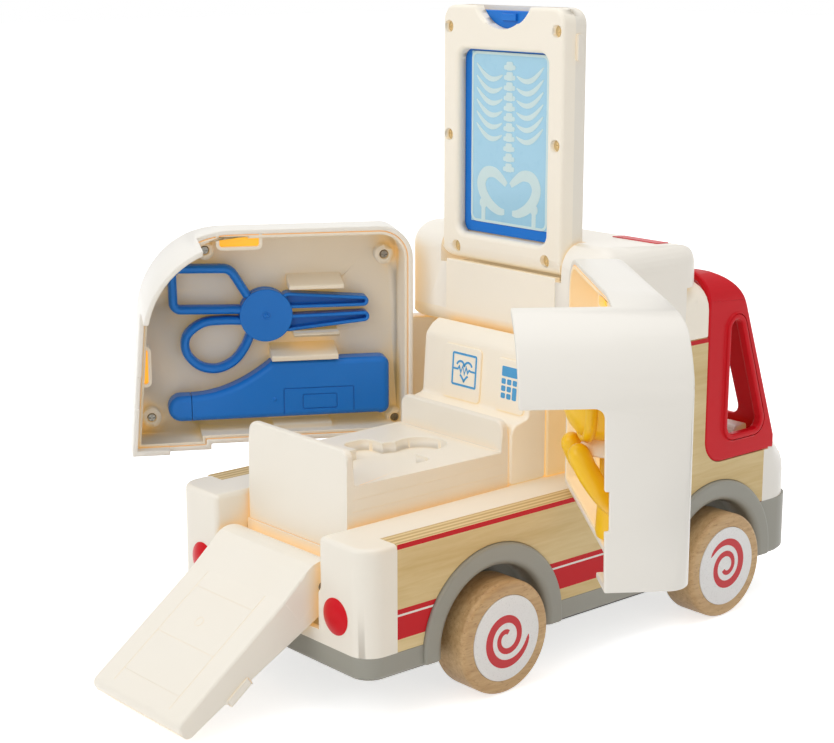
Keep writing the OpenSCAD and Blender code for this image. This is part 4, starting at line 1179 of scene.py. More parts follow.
@dataclass
class RearBody:
    """Cream rear body with soft corner blocks, tail lamps, plywood sides, console, tower and hinge pins."""

    deck_z_mm: float = 56.0
    ply_rear_mm: float = -125.0
    ply_in_mm: float = 55.6
    console_x_mm: float = -33.0
    crown_mm: float = 2.4
    split_mm: float = 34.0
    lean_deg: float = 4.09
    pad_mm: float = 1.2
    frame_mm: Point3 = (15.6, 14.6, 1.2)
    monitor_mm: Point2 = (2.0, 1.6)
    line_mm: float = 1.0
    heart_mm: float = 5.2
    heart_gap_mm: Point2 = (1.4, -1.9)
    pulse: tuple[Point2, ...] = ((-7.4, 0.0), (-4.4, 0.0), (-3.3, 1.3), (-2.2, -1.4), (-1.0, 1.9),
                                 (0.2, -2.0), (1.3, 1.5), (2.4, -1.0), (3.4, 0.4), (4.4, 0.0), (7.4, 0.0))
    keypad_mm: Point2 = (-0.4, 1.8)
    key_mm: Point2 = (2.7, 2.5)
    key_pitch_mm: Point2 = (3.6, 3.3)
    display_mm: Point2 = (9.9, 4.6)
    sills_mm: tuple[tuple[float, float, float, float], ...] = (
        (-125.6, -124.4, 12.0, 43.2), (-131.0, -129.8, 3.0, 20.6))
    sill_half_mm: float = 35.6

    def on_crown(self, middle: Vector, way: Vector) -> bool:
        """Tells whether an edge is on the blocks' top rim or the channel's.

        Args:
            middle: the edge's middle in mm.
            way: the edge's direction.

        Returns:
            True for such an edge.
        """
        if abs(way.z) > 0.9 and middle.x < self.ply_rear_mm - 12 and abs(middle.y) < self.sill_half_mm + 2:
            return middle.z > self.split_mm
        if abs(middle.z - self.deck_z_mm) > 0.1 or middle.x > self.console_x_mm:
            return False
        return middle.x < self.ply_rear_mm - 0.2 or abs(middle.y) < self.ply_in_mm - 1

    def pad_place(self, node: str) -> Place:
        """Gives the place function on a leaning pad's face: across, up and out of it.

        Args:
            node: the pad's CAD node.

        Returns:
            The place function.
        """
        low, high = box_mm(node)
        lean = math.radians(self.lean_deg)
        out = Vector((-math.cos(lean), 0.0, math.sin(lean)))
        up = Vector((math.sin(lean), 0.0, math.cos(lean)))
        middle = (low + high) / 2 + out * self.pad_mm / 2
        return lambda u, v, w: (middle + Vector((0.0, -u, 0.0)) + up * v + out * w) * MM

    def monitor(self) -> None:
        """Prints the monitor: a frame, a heart and a pulse line."""
        pad = self.pad_place("monitor_pad")
        place: Place = lambda u, v, w: pad(u + self.monitor_mm[0], v + self.monitor_mm[1], w)
        bm = bmesh.new()
        wide, high, corner = (size / 2 for size in self.frame_mm)
        box = rounded([(wide, high, corner), (-wide, high, corner),
                       (-wide, -high, corner), (wide, -high, corner)])
        line = flat(self.line_mm, 0.0, 0.12)
        rail(bm, box, line, place, closed=True)
        heart = []
        for k in range(48):
            a = math.tau * k / 48
            heart.append((self.heart_mm * math.sin(a) ** 3, self.heart_mm / 16 * (
                13 * math.cos(a) - 5 * math.cos(2 * a) - 2 * math.cos(3 * a) - math.cos(4 * a))))
        upper = [p for p in heart if p[1] > self.heart_gap_mm[0]]
        lower = [p for p in heart if p[1] < self.heart_gap_mm[1]]
        split = next(i for i, p in enumerate(upper) if p[0] < 0)
        rail(bm, upper[split:] + upper[:split], line, place)
        rail(bm, lower, line, place)
        rail(bm, self.pulse, flat(self.line_mm * 0.85, 0.0, 0.13), place)
        place_piece("monitor_print", finished(bm, "monitor_print"), "body", "blue_abs", [Finish.BLUE_INK])

    def keypad(self) -> None:
        """Prints the keypad: a display and rows of keys."""
        place = self.pad_place("keypad_pad")
        across, down = self.key_pitch_mm
        keys = [(across * (i - 1), -down * j, 0.0) for i in range(3) for j in range(3) if i < 2 or j == 0]
        tiles = PrintedTiles(*self.key_mm, 0.6).mesh(keys, Finish.BLUE_INK)
        tall = PrintedTiles(self.key_mm[0], self.key_mm[1] + down, 0.6).mesh(
            [(across, -1.5 * down, 0.0)], Finish.BLUE_INK)
        display = PrintedTiles(*self.display_mm, 0.5).mesh([(0.0, 4.6, 0.0)], Finish.BLUE_INK)
        mesh = joined("keypad_print", [tiles, tall, display])
        for vertex in mesh.vertices:
            spot = vertex.co / MM
            vertex.co = place(spot.x + self.keypad_mm[0], spot.y + self.keypad_mm[1], spot.z)
        place_piece("keypad_print", mesh, "body", "blue_abs", [Finish.BLUE_INK])

    def build(self) -> None:
        """Makes the rear body and all that is fixed to it."""
        sill = bmesh.new()
        half = self.sill_half_mm
        for x0, x1, z0, z1 in self.sills_mm:
            slab(sill, square(-half, half, z0, z1), x0, x1, 0.3, facing_x)
        moulded_piece("rear_body", [Rounding(self.crown_mm, self.on_crown, 5)],
                      extra=[finished(sill, "sill")], split_mm=self.split_mm)
        for side in Side:
            moulded_piece("ply_" + side.word, [Rounding(0.25, segments=2)])
            moulded_piece("tail_light_" + side.word, [Rounding(0.5)])
            moulded_piece(side.word + "_hinge_pin", [Rounding(0.3)])
        # painted light: the console's side faces get the warmer glowing ivory, in place of light bounced onto
        # them
        moulded_piece("console", [Rounding(1.6, lambda m, w: abs(w.y) > 0.9, 4), Rounding(0.8)], Finish.PANEL,
                      second=(Finish.WARM_TRAY, lambda m, n: abs(n.y) > 0.7))
        # the pads share the panel finish with its even painted glow
        for node in ("monitor_pad", "keypad_pad"):
            moulded_piece(node, [Rounding(0.5)], Finish.PANEL)
        # painted light: the tower gets the warmer glowing ivory, in place of bounced light
        moulded_piece("tower", [Rounding(1.0)], Finish.WARM_TRAY)
        self.monitor()
        self.keypad()


@dataclass
class Cab:
    """Roof cap, cap base, red window frame, nose, dash, lamps and the mark on the roof."""

    half_mm: float = 66.72
    cap_x_mm: Point2 = (-7.52, 58.02)
    cap_top_mm: float = 162.02
    cap_r_mm: float = 12.0
    base_z_mm: Point2 = (115.0, 140.0)
    base_r_mm: float = 8.0
    nose_r_mm: float = 19.0
    nose_flat_mm: float = 109.0
    tongue_mm: tuple[float, float, float, float, float] = (-7.45, -4.1, 36.0, 144.0, 146.6)
    shoulder_x_mm: Point2 = (34.0, 62.0)
    shoulder_in_mm: float = 50.0

    def shoulders(self) -> bpy.types.Mesh:
        """Makes the square front shoulders that carry the base up to the window frame.

        Returns:
            The mesh.
        """
        low, high = self.base_z_mm
        bm = bmesh.new()
        for side in Side:
            out, inner = self.half_mm - 0.1, self.shoulder_in_mm
            outline = rounded([(-out, low + 0.2, 0.8), (-inner, low + 0.2, 0), (-inner, high - 0.1, 0),
                               (-out, high - 0.1, self.cap_r_mm)])
            slab(bm, outline, *self.shoulder_x_mm, 0.5,
                 lambda u, v, w, s=side: Vector((w, -u * s.value, v)) * MM)
        return finished(bm, "cap_shoulders")

    def tongue(self) -> bpy.types.Mesh:
        """Makes the lip on the tongue that closes the gap under the panel.

        Returns:
            The mesh.
        """
        x0, x1, half, low, high = self.tongue_mm
        bm = bmesh.new()
        slab(bm, square(-half, half, low, high), x0, x1, 0.4, facing_x)
        return finished(bm, "tongue_lip")

    def nose_form(self, corner: Side | None = None) -> bpy.types.Mesh:
        """Makes the form that rounds the nose's front corners like balls, or the filling of one corner.

        Args:
            corner: the corner to fill, or None for the whole form.

        Returns:
            The mesh.
        """
        low, high = box_mm("nose")
        radius = self.nose_r_mm
        gap, foot = (-0.02, low.z - 1.0) if corner is None else (0.05, low.z + 0.1)
        bm = bmesh.new()
        for side in Side if corner is None else [corner]:
            face = (high.y - gap) * side.value
            for z in (foot, high.z - gap):
                bm.verts.new(Vector((self.nose_flat_mm, face, z)) * MM)
                if corner is None:
                    bm.verts.new(Vector((60.0, face, z)) * MM)
                else:
                    for x in (self.nose_flat_mm, high.x - gap):
                        bm.verts.new(Vector((x, face - side.value * (radius + 4.0),
                                             min(z, high.z - radius))) * MM)
            middle = Vector((high.x - gap - radius, face - side.value * radius, high.z - gap - radius))
            for i in range(9):
                for j in range(9):
                    over, about = math.pi / 2 * i / 8, math.pi / 2 * j / 8
                    step = Vector((math.cos(about), side.value * math.sin(about), 0.0)) * math.cos(over)
                    bm.verts.new((middle + (step + Vector((0.0, 0.0, math.sin(over)))) * radius) * MM)
                    if i == 0:
                        rim = middle + step * radius
                        bm.verts.new(Vector((rim.x, rim.y, foot)) * MM)
        bmesh.ops.convex_hull(bm, input=bm.verts[:])
        return finished(bm, "nose_form")

    def build(self) -> None:
        """Makes the cab's pieces."""
        x0, x1 = self.cap_x_mm
        half, low = self.half_mm, self.base_z_mm[0]
        # painted light: the cap base and its shoulders take the panel finish's even glow, the roof cap the
        # cap finish's
        moulded_piece("cap_base", [], Finish.PANEL, [self.shoulders(), self.tongue()], inside=cushion(
            (x0, -half, low - 0.02), (x1 + 24, half, low + 60), self.base_r_mm))
        moulded_piece("roof_cap", [], Finish.CAP, inside=cushion(
            (x0, -half, low - 20), (x1, half, self.cap_top_mm), self.cap_r_mm))
        moulded_piece("roof_mark", [Rounding(0.1, segments=2)])
        moulded_piece("window_frame", [Rounding(1.1, segments=4)])
        moulded_piece("nose", [], extra=[self.nose_form(side) for side in Side], inside=self.nose_form())
        moulded_piece("dash", [Rounding(0.8)])
        moulded_piece("cab_back", [Rounding(0.5)])
        for side in Side:
            moulded_piece("headlight_" + side.word, [Rounding(0.4)])


@dataclass
class Wheels:
    """Four beech wheels with their white plates and printed spirals, each turned its own way."""

    start_deg: dict[str, float] = field(default_factory=lambda: {
        "rear_right": 67.0, "front_right": 222.0, "rear_left": 75.0, "front_left": 248.0})

    def build(self) -> None:
        """Makes the wheels, the plates and the prints."""
        for end in ("front", "rear"):
            for side in Side:
                spot = f"{end}_{side.word}"
                moulded_piece("wheel_" + spot, [Rounding(0.3)])
                plate = "wheel_plate_" + spot
                moulded_piece(plate, [Rounding(0.15, segments=2)])
                low, high = box_mm(plate)
                face = high.y if side is Side.LEFT else low.y
                middle = Vector(((low.x + high.x) / 2, face, (low.z + high.z) / 2))
                spiral = SpiralPrint().mesh(Finish.RED_INK)
                turn = Matrix.Rotation(math.radians(self.start_deg[spot]), 4, "Z")
                flip = Matrix.Rotation(math.radians(90), 4, "X")
                if side is Side.LEFT:
                    flip = Matrix.Rotation(math.pi, 4, "Z") @ flip
                spiral.transform(Matrix.Translation(middle * MM) @ flip @ turn
                                 @ Matrix.Rotation(math.pi, 4, "X"))
                place_piece("spiral_" + spot, spiral, BODY_OF[plate], SLOTS[plate], [Finish.RED_INK])


@dataclass
class Ramp:
    """Folding ramp with scored lines on its tread, its hinge pin and an ejector mark."""

    slope_deg: float = 36.8
    tread_mm: float = 9.9
    length_mm: float = 84.3
    score_mm: float = 0.3
    lane_mm: float = 20.5
    cross_mm: tuple[float, ...] = (26.0, 51.0, 72.0)
    mark_mm: Point3 = (40.0, 2.0, 2.2)
    head: tuple[Point3, ...] = ((-9.5, -4.0, 0), (18.0, -4.0, 0), (18.0, 9.85, 0),
                                (3.0, 11.1, 4.0), (-2.4, 11.0, 1.8), (-9.5, 5.0, 0))
    head_half_mm: float = 32.7
    seam: tuple[Point2, Point2] = ((-11.0, -3.7), (85.0, 2.7))

    def place(self) -> Place:
        """Gives the place function on the tread: along it from the hinge, across it and out of it."""
        turn = Matrix.Rotation(-math.radians(self.slope_deg), 4, "Y")
        return placed(Matrix.Translation(joint_mm("ramp_fold")) @ turn @ Matrix.Diagonal((-1, 1, 1, 1)))

    def over_seam(self, middle: Vector) -> float:
        """Tells how far a point lies over the seam between the two halves.

        Args:
            middle: the point in mm.

        Returns:
            The height over the seam in mm, negative under it.
        """
        spot = Matrix.Rotation(math.radians(self.slope_deg), 3, "Y") @ (middle - joint_mm("ramp_fold"))
        (u0, v0), (u1, v1) = self.seam
        return spot.z - v0 - (v1 - v0) * (-spot.x - u0) / (u1 - u0)

    def scores(self) -> bpy.types.Mesh:
        """Makes the cutter for the scored lines and the mark.

        Returns:
            The mesh.
        """
        place = self.place()
        bm = bmesh.new()
        depth = flat(self.score_mm, self.tread_mm - 0.12, self.tread_mm + 1.0)
        for across in (-self.lane_mm, self.lane_mm):
            rail(bm, [(4.0, across), (self.length_mm - 6.0, across)], depth, place)
        for along in self.cross_mm:
            rail(bm, [(along, self.score_mm - self.lane_mm),
                      (along, self.lane_mm - self.score_mm)], depth, place)
        along, across, radius = self.mark_mm
        rail(bm, circle((along, across), radius, 24), depth, place, closed=True)
        return finished(bm, "ramp_scores")

    def lip(self) -> bpy.types.Mesh:
        """Makes the flat head of the tread over the hinge.

        Returns:
            The mesh.
        """
        place = self.place()
        bm = bmesh.new()
        slab(bm, rounded(self.head, 5), -self.head_half_mm, self.head_half_mm, 1.2,
             lambda u, v, w: place(u, w, v))
        return finished(bm, "ramp_head")

    def build(self) -> None:
        """Makes the two halves and the pin."""
        moulded_piece("ramp_tread", [Rounding(1.3, lambda m, w: self.over_seam(m) > 2.0, 4)],
                      cutter=self.scores(), extra=[self.lip()])
        moulded_piece("ramp_underside", [Rounding(1.0, lambda m, w: self.over_seam(m) < -1.5)])
        moulded_piece("ramp_pin", [Rounding(0.3)])


@dataclass
class Bed:
    """Bed with thin end boards, their upper corners round."""

    board_top_mm: float = 84.0
    corner_mm: float = 4.5
    half_mm: float = 34.5
    seam_mm: Point2 = (66.6, 61.4)
    seam_x_mm: Point2 = (-122.0, -36.5)

    def build(self) -> None:
        """Makes the bed."""
        moulded_piece("bed", [
            Rounding(self.corner_mm, lambda m, w: abs(w.x) > 0.9 and m.z > self.board_top_mm, 5),
            Rounding(1.2, lambda m, w: m.z > 73.5, 4),
            Rounding(0.5, lambda m, w: 71.0 < m.z < 73.0, 2),
        ], cutter=self.seams())

    def seams(self) -> bpy.types.Mesh:
        """Makes the cutter for the seams along the bed's sides.

        Returns:
            The mesh.
        """
        bm = bmesh.new()
        for side in Side:
            for level in self.seam_mm:
                rail(bm, [(self.seam_x_mm[0], level), (self.seam_x_mm[1], level)],
                     flat(0.35, self.half_mm - 0.08, self.half_mm + 1.0),
                     lambda u, v, w, s=side: Vector((u, w * s.value, v)) * MM)
        return finished(bm, "bed_seams")


@dataclass
class Viewer:
    """Fold-up viewer panel with its recessed screws, and the film holder with its print."""

    face_mm: float = -7.5
    window_half_mm: float = 29.5
    window_mm: Point2 = (159.0, 245.5)
    bezel_mm: float = 2.4
    bore_mm: tuple[Point2, ...] = ((34.7, 254.3), (34.7, 205.0), (29.3, 153.5))
    bore_r_mm: float = 2.8
    bore_deep_mm: float = 2.6
    head_r_mm: float = 1.9
    middle_mm: float = 202.0
    bezel_from_mm: float = 25.0
    outline_half_mm: float = 37.5
    outline_top_mm: float = 257.0
    foot_mm: float = 152.0
    rim_mm: float = 1.8
    film_x_mm: float = -2.0
    film_half_mm: float = 25.0
    film_mm: Point2 = (165.5, 243.5)
    border_mm: float = 1.2
    rib_pairs: int = 6
    rib_pitch_mm: float = 5.4
    spine_bones: int = 11
    spine_pitch_mm: float = 5.3
    hip: tuple[Point2, ...] = ((1.4, 18.6), (4.6, 21.0), (9.4, 23.6), (15.0, 23.0), (18.0, 18.6),
                               (16.6, 13.4), (12.0, 8.8), (6.4, 6.2), (2.6, 6.0))
    knob_mm: Point3 = (16.6, 9.0, 2.5)
    tab_mm: Point3 = (9.0, 257.6, 260.8)

    def on_bezel(self, middle: Vector, way: Vector) -> bool:
        """Tells whether an edge is on the window's front rim.

        Args:
            middle: the edge's middle in mm.
            way: the edge's direction; not used.

        Returns:
            True for such an edge.
        """
        inside = abs(middle.y) < self.window_half_mm and self.window_mm[0] < middle.z < self.window_mm[1]
        outward = abs(middle.y) + abs(middle.z - self.middle_mm) > self.bezel_from_mm
        return inside and abs(middle.x - self.face_mm) < 0.1 and outward

    def on_outline(self, middle: Vector, way: Vector) -> bool:
        """Tells whether an edge is on the panel's outer front rim."""
        outer = abs(middle.y) > self.outline_half_mm or middle.z > self.outline_top_mm
        return abs(middle.x - self.face_mm) < 0.1 and outer

    def print_place(self, u: float, v: float, w: float) -> Vector:
        """Puts a point of the print on the film: across, up from the film's foot and out of it."""
        return Vector((self.film_x_mm - w, -u, self.film_mm[0] + v)) * MM

    def bones(self) -> bpy.types.Mesh:
        """Draws ribs, hips and legs as tapering strokes.

        Returns:
            The mesh.
        """
        bm = bmesh.new()
        stroke = flat(1.0, 0.0, 0.12)
        for side in (-1, 1):
            for i in range(self.rib_pairs):
                top = 70.0 - self.rib_pitch_mm * i
                rib = [(side * (4.6 + 17.0 * t), top - 5.6 * math.sin(math.pi * (0.12 + 0.83 * t)) + 3.4 * t)
                       for t in (k / 12 for k in range(13))]
                rail(bm, rib, stroke, self.print_place,
                     widths=[0.5 + 1.9 * math.sin(math.pi * k / 12) ** 0.7 for k in range(13)])
            hip = flowing([(side * u, v) for u, v in self.hip])
            rail(bm, hip, stroke, self.print_place,
                 widths=[2.2 + 3.4 * math.sin(math.pi * k / (len(hip) - 1)) ** 0.8 for k in range(len(hip))])
            u, v, radius = self.knob_mm
            slab(bm, circle((side * u, v), radius, 24), 0.0, 0.14, 0.02, self.print_place)
            rail(bm, [(side * u, v - 1.0), (side * u, 1.0)], flat(2.6, 0.0, 0.12), self.print_place)
        return finished(bm, "film_bones")

    def film_print(self) -> None:
        """Prints the film: border, spine, ribs and hips."""
        border = bmesh.new()
        wide = self.film_half_mm - self.border_mm / 2
        tall = self.film_mm[1] - self.film_mm[0] - self.border_mm / 2
        low = self.border_mm / 2
        frame_line = rounded([(wide, tall, 3.0), (-wide, tall, 3.0), (-wide, low, 3.0), (wide, low, 3.0)])
        rail(border, frame_line, flat(self.border_mm, 0.0, 0.1), self.print_place, closed=True)
        spots = [(0.0, 71.5 - self.spine_pitch_mm * 0.86 * i, 0.0) for i in range(self.spine_bones)]
        wide_bones = PrintedTiles(7.4, 2.1, 0.9).mesh(spots, Finish.PALE_INK)
        tall_bones = PrintedTiles(4.2, 3.9, 0.9, 0.18).mesh(
            [(u, v + 0.6, w) for u, v, w in spots], Finish.PALE_INK)
        for tiles in (wide_bones, tall_bones):
            for vertex in tiles.vertices:
                vertex.co = self.print_place(*(vertex.co / MM))
        mesh = joined("film_print", [finished(border, "film_border"), self.bones(), wide_bones, tall_bones])
        place_piece("film_print", mesh, "film_slider", "film_print", [Finish.PALE_INK])

    def screws(self) -> None:
        """Sets a cross-recess screw in each hole of the frame."""
        low, high = box_mm("panel_screws")
        spots = [(m.z, m.y, 0.0) for m in screw_middles("panel_screws", Matrix.Identity(4), 0)]
        heads = ScrewHeads(self.head_r_mm, high.x - low.x).mesh(spots, Finish.BRASS)
        heads.transform(Matrix.Translation((high.x * MM, 0, 0)) @ Matrix.Rotation(math.radians(-90), 4, "Y"))
        place_piece("panel_screws_piece", heads, "viewer", "steel", [Finish.BRASS], ["panel_screws"])

    def bores(self, radius: float, near: float, far: float) -> bpy.types.Mesh:
        """Makes a plug in each screw bore.

        Args:
            radius: the plugs' radius.
            near: level of their outer end.
            far: level of their inner end.

        Returns:
            The mesh.
        """
        bm = bmesh.new()
        for y, z in self.bore_mm:
            for side in (-1, 1):
                turned(bm, [(0.0, near), (radius, near), (radius, far), (0.0, far)],
                       lambda u, v, w, s=side, y=y, z=z: Vector((w, s * y + u, z + v)) * MM, 32)
        return finished(bm, "screw_bores")

    def build(self) -> None:
        """Makes the panel, the film holder and the print."""
        face = self.face_mm
        # painted light: the frame has an even glow, and its downward faces at the foot take the warmer
        # glowing ivory, in place of bounced light under the panel
        moulded_piece("panel_frame", [
            Rounding(self.bezel_mm, self.on_bezel, 5),
            Rounding(self.rim_mm, self.on_outline, 4),
        ], Finish.PANEL, cutter=self.bores(self.bore_r_mm, face - 2.0, face + self.bore_deep_mm),
            second=(Finish.WARM_TRAY, lambda m, n: n.z < -0.6 and m.z < self.foot_mm))
        # painted shade: the bore floors are a darker tan that stands for the shadow inside each bore
        floor = self.bores(self.bore_r_mm - 0.05, face + self.bore_deep_mm - 0.3,
                           face + self.bore_deep_mm + 0.2)
        place_piece("panel_bore_floors", floor, "viewer", "cream_abs", [Finish.SHADED])
        moulded_piece("panel_back", [Rounding(self.rim_mm, lambda m, w: m.x > 7.3, 4)])
        moulded_piece("panel_pin", [Rounding(0.3)])
        wide, low, high = self.tab_mm
        tab = bmesh.new()
        slab(tab, square(-wide / 2, wide / 2, low, high), 1.0, 3.4, 0.5,
             lambda u, v, w: Vector((-w, -u, v)) * MM)
        moulded_piece("film_holder", [Rounding(0.5)], extra=[finished(tab, "thumb_bar")])
        moulded_piece("film", [Rounding(0.15, segments=2)])
        self.film_print()
        self.screws()


@dataclass
class RearShell:
    """One rear shell: outer skin, inner tray with its catch pockets, and four screws."""

    side: Side
    floor_mm: float = 61.1
    rim_mm: float = 39.7
    pocket_wall_mm: float = 1.5
    middle_mm: Point3 = (-65.0, 30.0, 105.0)
    top_pocket_mm: tuple[float, float, float] = (-100.6, -80.6, 153.2)
    rear_pocket_mm: tuple[float, float, float] = (89.6, 107.6, -133.6)
    head_r_mm: float = 2.15
    clip_backs_mm: tuple[tuple[float, ...], ...] = (
        (-66.8, -40.6, 131.4, 133.4, 137.0), (-75.6, -43.6, 97.1, 99.6, 103.4))

    def matrix(self) -> Matrix:
        """Gives the matrix from the closed left shell in mm to this shell as it stands.

        Returns:
            The matrix.
        """
        swing = self.side.word + "_door_swing"
        hinge = joint_mm(swing)
        turn = Matrix.Rotation(-self.side.value * math.radians(JOINTS[swing]["range_deg"][1]), 4, "Z")
        return (Matrix.Translation(hinge) @ turn @ Matrix.Translation(-hinge)
                @ Matrix.Diagonal((1, self.side.value, 1, 1)))

    def tray_place(self, lift_mm: float = 0.0) -> Place:
        """Gives the place function in the tray: along it, up it and out of its floor or a level over it."""
        matrix = self.matrix()
        return lambda x, z, w: (matrix @ Vector((x, self.floor_mm - (w + lift_mm), z))) * MM

    def pockets(self) -> list[bpy.types.Mesh]:
        """Makes the walls round the catch pockets at the roof and the rear wall.

        Returns:
            The walls, as one mesh in a list.
        """
        place = self.tray_place()
        deep = self.floor_mm - self.rim_mm
        bm = bmesh.new()
        x0, x1, foot = self.top_pocket_mm
        wall = flat(self.pocket_wall_mm, deep - 9.0, deep - 0.2)
        roof = foot + 6.6
        rail(bm, rounded([(x0, roof, 0), (x0, foot, 2.0), (x1, foot, 2.0), (x1, roof, 0)]), wall, place)
        z0, z1, front = self.rear_pocket_mm
        rear = front - 4.0
        rail(bm, rounded([(rear, z0, 0), (front, z0, 2.0), (front, z1, 2.0), (rear, z1, 0)]), wall, place)
        return [finished(bm, "catch_pockets")]

    def pocket_backs(self) -> bpy.types.Mesh:
        """Makes the thin backs of the catch pockets, whose glowing amber finish paints the light that comes
        through them.

        Returns:
            The mesh.
        """
        place = self.tray_place()
        deep = self.floor_mm - self.rim_mm
        bm = bmesh.new()
        x0, x1, foot = self.top_pocket_mm
        z0, z1, front = self.rear_pocket_mm
        for left, right, low, high in ((x0 + 0.4, x1 - 0.4, foot + 0.4, foot + 6.2),
                                       (front - 4.2, front - 0.4, z0 + 0.4, z1 - 0.4)):
            slab(bm, square(left, right, low, high), deep - 6.0, deep - 2.6, 0.3, place)
        return finished(bm, "pocket_backs")

    def screws(self) -> None:
        """Sets a cross-recess screw in each boss."""
        node = self.side.word + "_screws"
        back = self.matrix().inverted()
        levels = [(back @ (v.co / MM)).y for v in frame["nodes"][node].data.vertices]
        spots = [(m.x, m.z, 0.0) for m in screw_middles(node, back, 1)]
        heads = ScrewHeads(self.head_r_mm, max(levels) - min(levels)).mesh(spots, Finish.STEEL)
        stand = Matrix.Translation((0.0, max(levels), 0.0)) @ Matrix.Rotation(math.radians(90), 4, "X")
        scale = Matrix.Scale(MM, 4)
        heads.transform(scale @ self.matrix() @ stand @ Matrix.Scale(1 / MM, 4))
        if self.side is Side.RIGHT:
            heads.flip_normals()
        place_piece(node + "_piece", heads, self.side.word + "_door", "steel", [Finish.STEEL], [node])

    def outer_skin(self) -> None:
        """Makes the skin, white outside; its inward faces get a warmer finish with a painted glow, in place
        of light caught behind the tray.
        """
        back = self.matrix().inverted()
        turn = back.to_3x3()
        # painted light: the inward faces get a glowing ivory on the left and a glowing amber on the right
        inner = Finish.WARM_TRAY if self.side is Side.LEFT else Finish.AMBER

        def inside(middle: Vector, normal: Vector) -> bool:
            """Tells whether a face looks into the shell."""
            return (turn @ normal).dot((Vector(self.middle_mm) - back @ middle).normalized()) > 0.3

        moulded_piece(self.side.word + "_shell", [Rounding(0.6)], sharp_deg=62.0, second=(inner, inside),
                      even=False)

    def build(self) -> None:
        """Makes the skin, the tray and the screws."""
        word = self.side.word
        self.outer_skin()
        extra = self.pockets()
        if self.side is Side.LEFT:
            extra += [self.clips()]
        # painted light: the right tray gets the warmer glowing ivory, in place of warm bounced light
        finish = Finish.TRAY if self.side is Side.LEFT else Finish.WARM_TRAY
        back = self.matrix().inverted()
        moulded_piece(word + "_liner", [Rounding(0.4, lambda m, w: (back @ m).y < self.rim_mm + 0.6)],
                      finish, extra, sharp_deg=62.0)
        # painted light: the pocket backs glow amber
        place_piece(word + "_pocket_backs", self.pocket_backs(), word + "_door", "cream_abs", [Finish.AMBER])
        self.screws()

    def clips(self) -> bpy.types.Mesh:
        """Makes the sloping backs of the tool clips, each as x from, x to, foot, outer top and root top.

        Returns:
            The mesh.
        """
        matrix = self.matrix()
        bm = bmesh.new()
        for x0, x1, foot, outer, root in self.clip_backs_mm:
            place = placed(matrix @ Matrix.Translation((x0, 0, 0)))
            y1 = self.floor_mm
            y0 = y1 - 14.6
            outline = rounded([(y0, foot, 0.6), (y1, foot, 0), (y1, root, 0), (y0, outer, 0.9)], 4)
            slab(bm, outline, 0.0, x1 - x0, 0.4, lambda u, v, w, p=place: p(w, u, v))
        return finished(bm, "clip_backs")


@dataclass
class Scissors:
    """Play scissors in the left tray: two halves with round bar handles, pocketed blades and a plain hub."""

    tray: RearShell
    lift_mm: float = 0.3
    thick_mm: float = 9.0
    pivot_mm: Point2 = (-77.4, 118.6)
    hub_mm: float = 12.7
    bar_mm: float = 4.3
    loop: tuple[Point3, ...] = ((-86.0, 128.0, 0), (-94.0, 141.2, 6.0),
                                (-121.4, 141.9, 3.5), (-121.0, 122.2, 3.5), (-87.5, 121.3, 0))
    ring: tuple[Point2, ...] = ((-88.5, 116.0), (-98.0, 116.4), (-107.5, 115.4), (-115.0, 109.6),
                                (-115.4, 101.5), (-109.5, 94.8), (-101.0, 93.0), (-93.0, 96.4),
                                (-87.6, 103.0), (-84.5, 110.0))
    upper_blade: tuple[Point3, Point3] = ((-66.5, 125.4, 3.9), (-30.4, 123.9, 2.5))
    lower_blade: tuple[Point3, Point3] = ((-66.5, 114.4, 4.0), (-30.0, 116.4, 2.5))
    pocket_mm: Point2 = (1.25, 4.0)

    def half(self, handle: Sequence[Point2], blade: tuple[Point3, Point3], hub: Point2) -> bpy.types.Mesh:
        """Builds one half.

        Args:
            handle: the handle bar's path.
            blade: root and tip of the blade.
            hub: lower and upper level of its hub disc.

        Returns:
            The mesh.
        """
        place = self.tray.tray_place(self.lift_mm)
        bm = bmesh.new()
        rail(bm, handle, oval(self.bar_mm, 0.3, self.thick_mm - 0.3), place)
        slab(bm, capsule(*blade), 0.2, self.thick_mm - 0.3, 0.7, place, self.pocket_mm)
        slab(bm, circle(self.pivot_mm, self.hub_mm, 56), *hub, 0.6, place)
        return finished(bm, "scissor_half")

    def build(self) -> None:
        """Makes both halves and the rivet's pip."""
        split = self.thick_mm / 2
        arm = self.half(rounded(self.loop, 8), self.lower_blade, (0.2, split - 0.1))
        place_piece("scissor_arm_piece", arm, "scissors", "blue_abs", [Finish.BLUE], ["scissor_arm"])
        lever = self.half(flowing(self.ring), self.upper_blade, (split + 0.1, self.thick_mm + 0.2))
        place_piece("scissor_lever_piece", lever, "scissor_half", "blue_abs",
                    [Finish.BLUE], ["scissor_lever"])
        place = self.tray.tray_place(self.lift_mm)
        x, z = self.pivot_mm
        bm = bmesh.new()
        top = self.thick_mm + 0.2
        turned(bm, [(0.0, 0.5), (2.0, 0.5), (2.0, top + 0.2), (1.7, top + 0.35), (1.3, top + 0.05),
                    (0.9, top + 0.05), (0.7, top + 0.4), (0.0, top + 0.5)],
               lambda u, v, w: place(x + u, z + v, w), 24)
        place_piece("scissor_rivet_piece", finished(bm, "scissor_rivet"), "scissors", "blue_abs",
                    [Finish.BLUE], ["scissor_rivet"])


